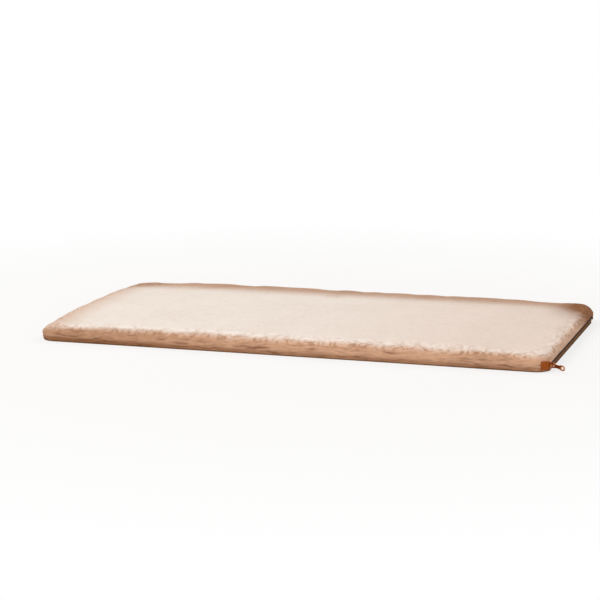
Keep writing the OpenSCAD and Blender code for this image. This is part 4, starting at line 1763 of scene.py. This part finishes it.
@dataclass
class ZipEnd:
    """The doubled cloth that is sewn over one end of the zip and round the corner."""

    form: PadForm
    side: str
    thickness: float = 0.5 * MM
    steps: int = 16
    hem: float = 1.2 * MM
    hem_rise: float = 0.12 * MM
    pucker: float = 0.15 * MM
    pucker_waves: tuple[int, int, int] = (9, 3, 11)
    pressed: float = 0.25 * MM
    tucked: float = 0.5 * MM
    seam_in: float = 1.5 * MM
    cad_gap: float = 0.3 * MM
    cad_thickness: float = 0.6 * MM
    leaned: Range = (0.0, 0.35)
    tuck: Range = (0.5, 1.0)
    seam_points: int = 12
    thread_height: float = 0.05 * MM

    def place(self, across: np.ndarray, up: np.ndarray, out: np.ndarray) -> np.ndarray:
        """Lays points round the corner, down to the plush and tucked in at the far end.

        Args:
            across: Share of the cloth's length, from the zip round the corner.
            up: Share of its height.
            out: Distance out from its CAD face, away from the corner's middle.

        Returns:
            The points.
        """
        low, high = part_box(f"zip_end_{self.side}")
        sign = 1.0 if self.side == "back" else -1.0
        middle = self.form.half_width - self.form.corner
        near, far = sorted((abs(low.y), abs(high.y)))
        inner = self.form.corner + self.cad_gap
        outer = inner + self.cad_thickness
        start, end = math.asin((near - middle) / inner), math.asin(min(1.0, (far - middle) / outer))
        angle = start + (end - start) * across
        z = low.z + (high.z - low.z) * up
        fall = self.form.side(0.0)
        lean = self.pressed + np.interp(z, fall.height[::-1], fall.inset[::-1])
        radius = outer + out - lean * rises(across, self.leaned) - self.tucked * rises(across, self.tuck)
        return np.column_stack([
            self.form.half_length - self.form.corner + radius * np.cos(angle),
            sign * (middle + radius * np.sin(angle)), z])

    def build(self) -> Iterator[bpy.types.Object]:
        """Makes the cloth and its stitches.

        Yields:
            The cloth and the stitches.
        """
        low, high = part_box(f"zip_end_{self.side}")
        tall = high.z - low.z
        shares = np.linspace(0, 1, self.steps + 1)
        across, up = (grid.ravel() for grid in np.meshgrid(shares, shares, indexing="ij"))
        edge = np.minimum.reduce([across, 1 - across, up, 1 - up]) * tall
        along, slant, upright = self.pucker_waves
        waves = np.sin(along * across + slant * up) * np.sin(upright * up)
        hem = self.hem_rise * (1 - rises(edge, (0.5 * self.hem, self.hem)))
        out = hem + self.pucker * waves * rises(edge, (self.hem, 3 * self.hem))
        count = self.steps + 1
        faces = [
            (i * count + j, (i + 1) * count + j, (i + 1) * count + j + 1, i * count + j + 1)
            for i in range(self.steps) for j in range(self.steps)]
        if self.side == "front":
            faces = [tuple(reversed(face)) for face in faces]
        mesh = mesh_of("cloth", self.place(across, up, out), faces)
        cloth = thickened(new_piece(f"zip_end_cloth_{self.side}", mesh), self.thickness)
        settle(cloth, ZIP_END, Body.PAD, f"zip_end_{self.side}")
        yield cloth
        share = self.seam_in / tall
        run = np.linspace(share, 1 - share, self.seam_points)
        near, far = np.full(len(run), share), np.full(len(run), 1 - share)
        sides = ((run, near), (far, run), (run[::-1], far), (near, run[::-1]))
        walk = np.concatenate([np.column_stack(side) for side in sides])
        line = self.place(walk[:, 0], walk[:, 1], np.full(len(walk), self.thread_height))
        sewn = Stitching(
            f"zip_end_stitches_{self.side}", pitch=1.6 * MM, stitch=1.05 * MM, thread=0.12 * MM)
        yield settle(sewn.along(line), THREAD, Body.PAD)


@dataclass
class Casting:
    """A small cast metal piece with its edges broken."""

    node: str
    name: str
    finish: Finish
    body: Body
    edge: float = 0.2 * MM
    edge_steps: int = 2
    flat_angle: float = 1
    edge_angle: float = 35
    sharp_angle: float = 50

    def build(self) -> Iterator[bpy.types.Object]:
        """Makes the piece.

        Yields:
            The piece.
        """
        piece = node_copy(self.node, self.name)
        with edited(piece.data) as body:
            bmesh.ops.dissolve_limit(
                body, angle_limit=math.radians(self.flat_angle), verts=body.verts, edges=body.edges)
        broken = piece.modifiers.new("edges", "BEVEL")
        broken.width = self.edge
        broken.segments = self.edge_steps
        broken.limit_method = "ANGLE"
        broken.angle_limit = math.radians(self.edge_angle)
        made = applied(piece)
        made.data.set_sharp_from_angle(angle=math.radians(self.sharp_angle))
        yield settle(made, self.finish, self.body, self.node)


def looks(tree: bpy.types.NodeTree) -> bpy.types.NodeSocket:
    """Tells the rays that look at a surface from those that only carry light.

    Args:
        tree: The tree of a material or of the world.

    Returns:
        An output that is 1 for rays from the camera or off a shiny surface, and 0 for others.
    """
    ray = add_node(tree, "ShaderNodeLightPath")
    return add_node(
        tree, "ShaderNodeMath", {0: ray["Is Camera Ray"], 1: ray["Is Glossy Ray"]}, operation="MAXIMUM")[0]


@dataclass
class Studio:
    """A pale floor, soft lamps and a camera where the photograph was taken from."""

    azimuth: float = 17.145
    elevation: float = 10.476
    distance: float = 2.658
    target: Place = (-0.0864, 0.1841, 0.0)
    focal_pixels: float = 2036.0
    frame_pixels: float = 600.0
    sensor_width: float = 36.0
    sight: float = 200.0
    floor_size: float = 60.0
    white_out: Range = (0.35, 0.9)
    near_white: float = 0.72
    skylight: float = 0.42

    def camera(self) -> None:
        """Sets the camera."""
        a, e = math.radians(self.azimuth), math.radians(self.elevation)
        back = Vector((math.sin(a) * math.cos(e), -math.cos(a) * math.cos(e), math.sin(e)))
        data = bpy.data.cameras.new("camera")
        data.sensor_width = self.sensor_width
        data.lens = self.focal_pixels / self.frame_pixels * data.sensor_width
        data.clip_end = self.sight
        camera = bpy.data.objects.new("camera", data)
        camera.location = Vector(self.target) + back * self.distance
        camera.rotation_euler = (-back).to_track_quat("-Z", "Y").to_euler()
        bpy.context.scene.collection.objects.link(camera)
        bpy.context.scene.camera = camera

    def lamp(self, name: str, place: Place, size: float, power: float, tint: str) -> None:
        """Adds a square soft lamp that looks at the pad.

        Args:
            name: The lamp's name.
            place: Where it hangs.
            size: Its side.
            power: Its power in watts.
            tint: Its colour.
        """
        data = bpy.data.lights.new(name, "AREA")
        data.size = size
        data.energy = power
        data.color = linear(tint)[:3]
        lamp = bpy.data.objects.new(name, data)
        lamp.location = place
        lamp.rotation_euler = (-Vector(place)).to_track_quat("-Z", "Y").to_euler()
        bpy.context.scene.collection.objects.link(lamp)

    def floor(self) -> None:
        """Lays a pale floor that goes to white away from the pad and keeps its shadow."""
        half = self.floor_size / 2
        points = np.array([(sx * half, sy * half, 0) for sx, sy in ((-1, -1), (1, -1), (1, 1), (-1, 1))])
        mesh = mesh_of("floor", points, [(0, 1, 2, 3)])
        floor = new_piece("floor", mesh, smooth=False)
        paint = bpy.data.materials.new("matt_white_floor_paint")
        paint.use_nodes = True
        tree = paint.node_tree
        tree.nodes.clear()
        place = add_node(tree, "ShaderNodeTexCoord")["Object"]
        away = add_node(tree, "ShaderNodeVectorMath", {0: place}, operation="LENGTH")["Value"]
        white = add_node(tree, "ShaderNodeMapRange", {
            "Value": away, "From Min": self.white_out[0], "From Max": self.white_out[1],
            "To Min": self.near_white})["Result"]
        share = add_node(tree, "ShaderNodeMath", {0: looks(tree), 1: white}, operation="MULTIPLY")[0]
        matt = add_node(tree, "ShaderNodeBsdfDiffuse", {"Color": linear("#F2F0EE")})[0]
        glow = add_node(tree, "ShaderNodeEmission", {"Color": linear("#FFFFFF"), "Strength": 1.0})[0]
        mixed = add_node(tree, "ShaderNodeMixShader", {0: share, 1: matt, 2: glow})[0]
        add_node(tree, "ShaderNodeOutputMaterial", {"Surface": mixed})
        mesh.materials.append(paint)

    def world(self) -> None:
        """Lights the pad from all round, and shows white behind it."""
        world = bpy.data.worlds.new("world")
        world.use_nodes = True
        tree = world.node_tree
        tree.nodes.clear()
        strength = add_node(tree, "ShaderNodeMapRange", {
            "Value": looks(tree), "To Min": self.skylight, "To Max": 1.0})["Result"]
        sky = add_node(tree, "ShaderNodeBackground", {"Color": linear("#FFFFFF"), "Strength": strength})[0]
        add_node(tree, "ShaderNodeOutputWorld", {"Surface": sky})
        bpy.context.scene.world = world

    def build(self) -> None:
        """Sets up the studio."""
        self.camera()
        self.floor()
        self.world()
        self.lamp("key", place=(-1.2, -1.0, 2.2), size=1.6, power=34, tint="#FFF8F0")
        self.lamp("fill", place=(1.6, -2.2, 1.0), size=1.8, power=14, tint="#FFFFFF")
        self.lamp("back", place=(0.9, 1.9, 1.8), size=1.6, power=19, tint="#FFFFFF")
        bpy.context.scene.view_settings.view_transform = "Standard"


def main() -> None:
    """Builds the pad's sub-assemblies in order, and logs each piece that it builds."""
    logging.basicConfig(level=logging.INFO, format="%(name)s: %(message)s")
    form = PadForm.of_frame()
    zip_place = ZipPlace.of_frame()
    Studio().build()
    strips = StripPlace.of_frame()
    assemblies = (
        BaseCloth(form, zip_place, strips),
        Filling(),
        Case(form, strips),
        *(Gripping(f"{kind}_strip_{side}", finish, kind == "hook")
          for kind, finish in (("hook", HOOK_TAPE), ("loop", LOOP_TAPE)) for side in ("front", "back")),
        ZipTape("zip_tape_upper", flat=(0.0105, 0.3), area=0.00243),
        ZipTape("zip_tape_lower", flat=(0.0125, 0.3), area=0.0034),
        PlushCover(form, zip_place),
        ZipEnd(form, "front"),
        ZipEnd(form, "back"),
        Casting("slider_body", "cast_slider", SLIDER, Body.SLIDER),
        Casting("pull_tab", "cast_pull_tab", TAB, Body.TAB),
    )
    for assembly in assemblies:
        for piece in assembly.build():
            log.info("built %s", piece.name)
    for node, finish in (
        ("zip_teeth_upper", TEETH), ("zip_teeth_lower", TEETH),
        ("zip_top_stops", STOPS), ("zip_bottom_stop", STOPS),
    ):
        dress_node(node, finish)


if __name__ == "__main__":
    main()
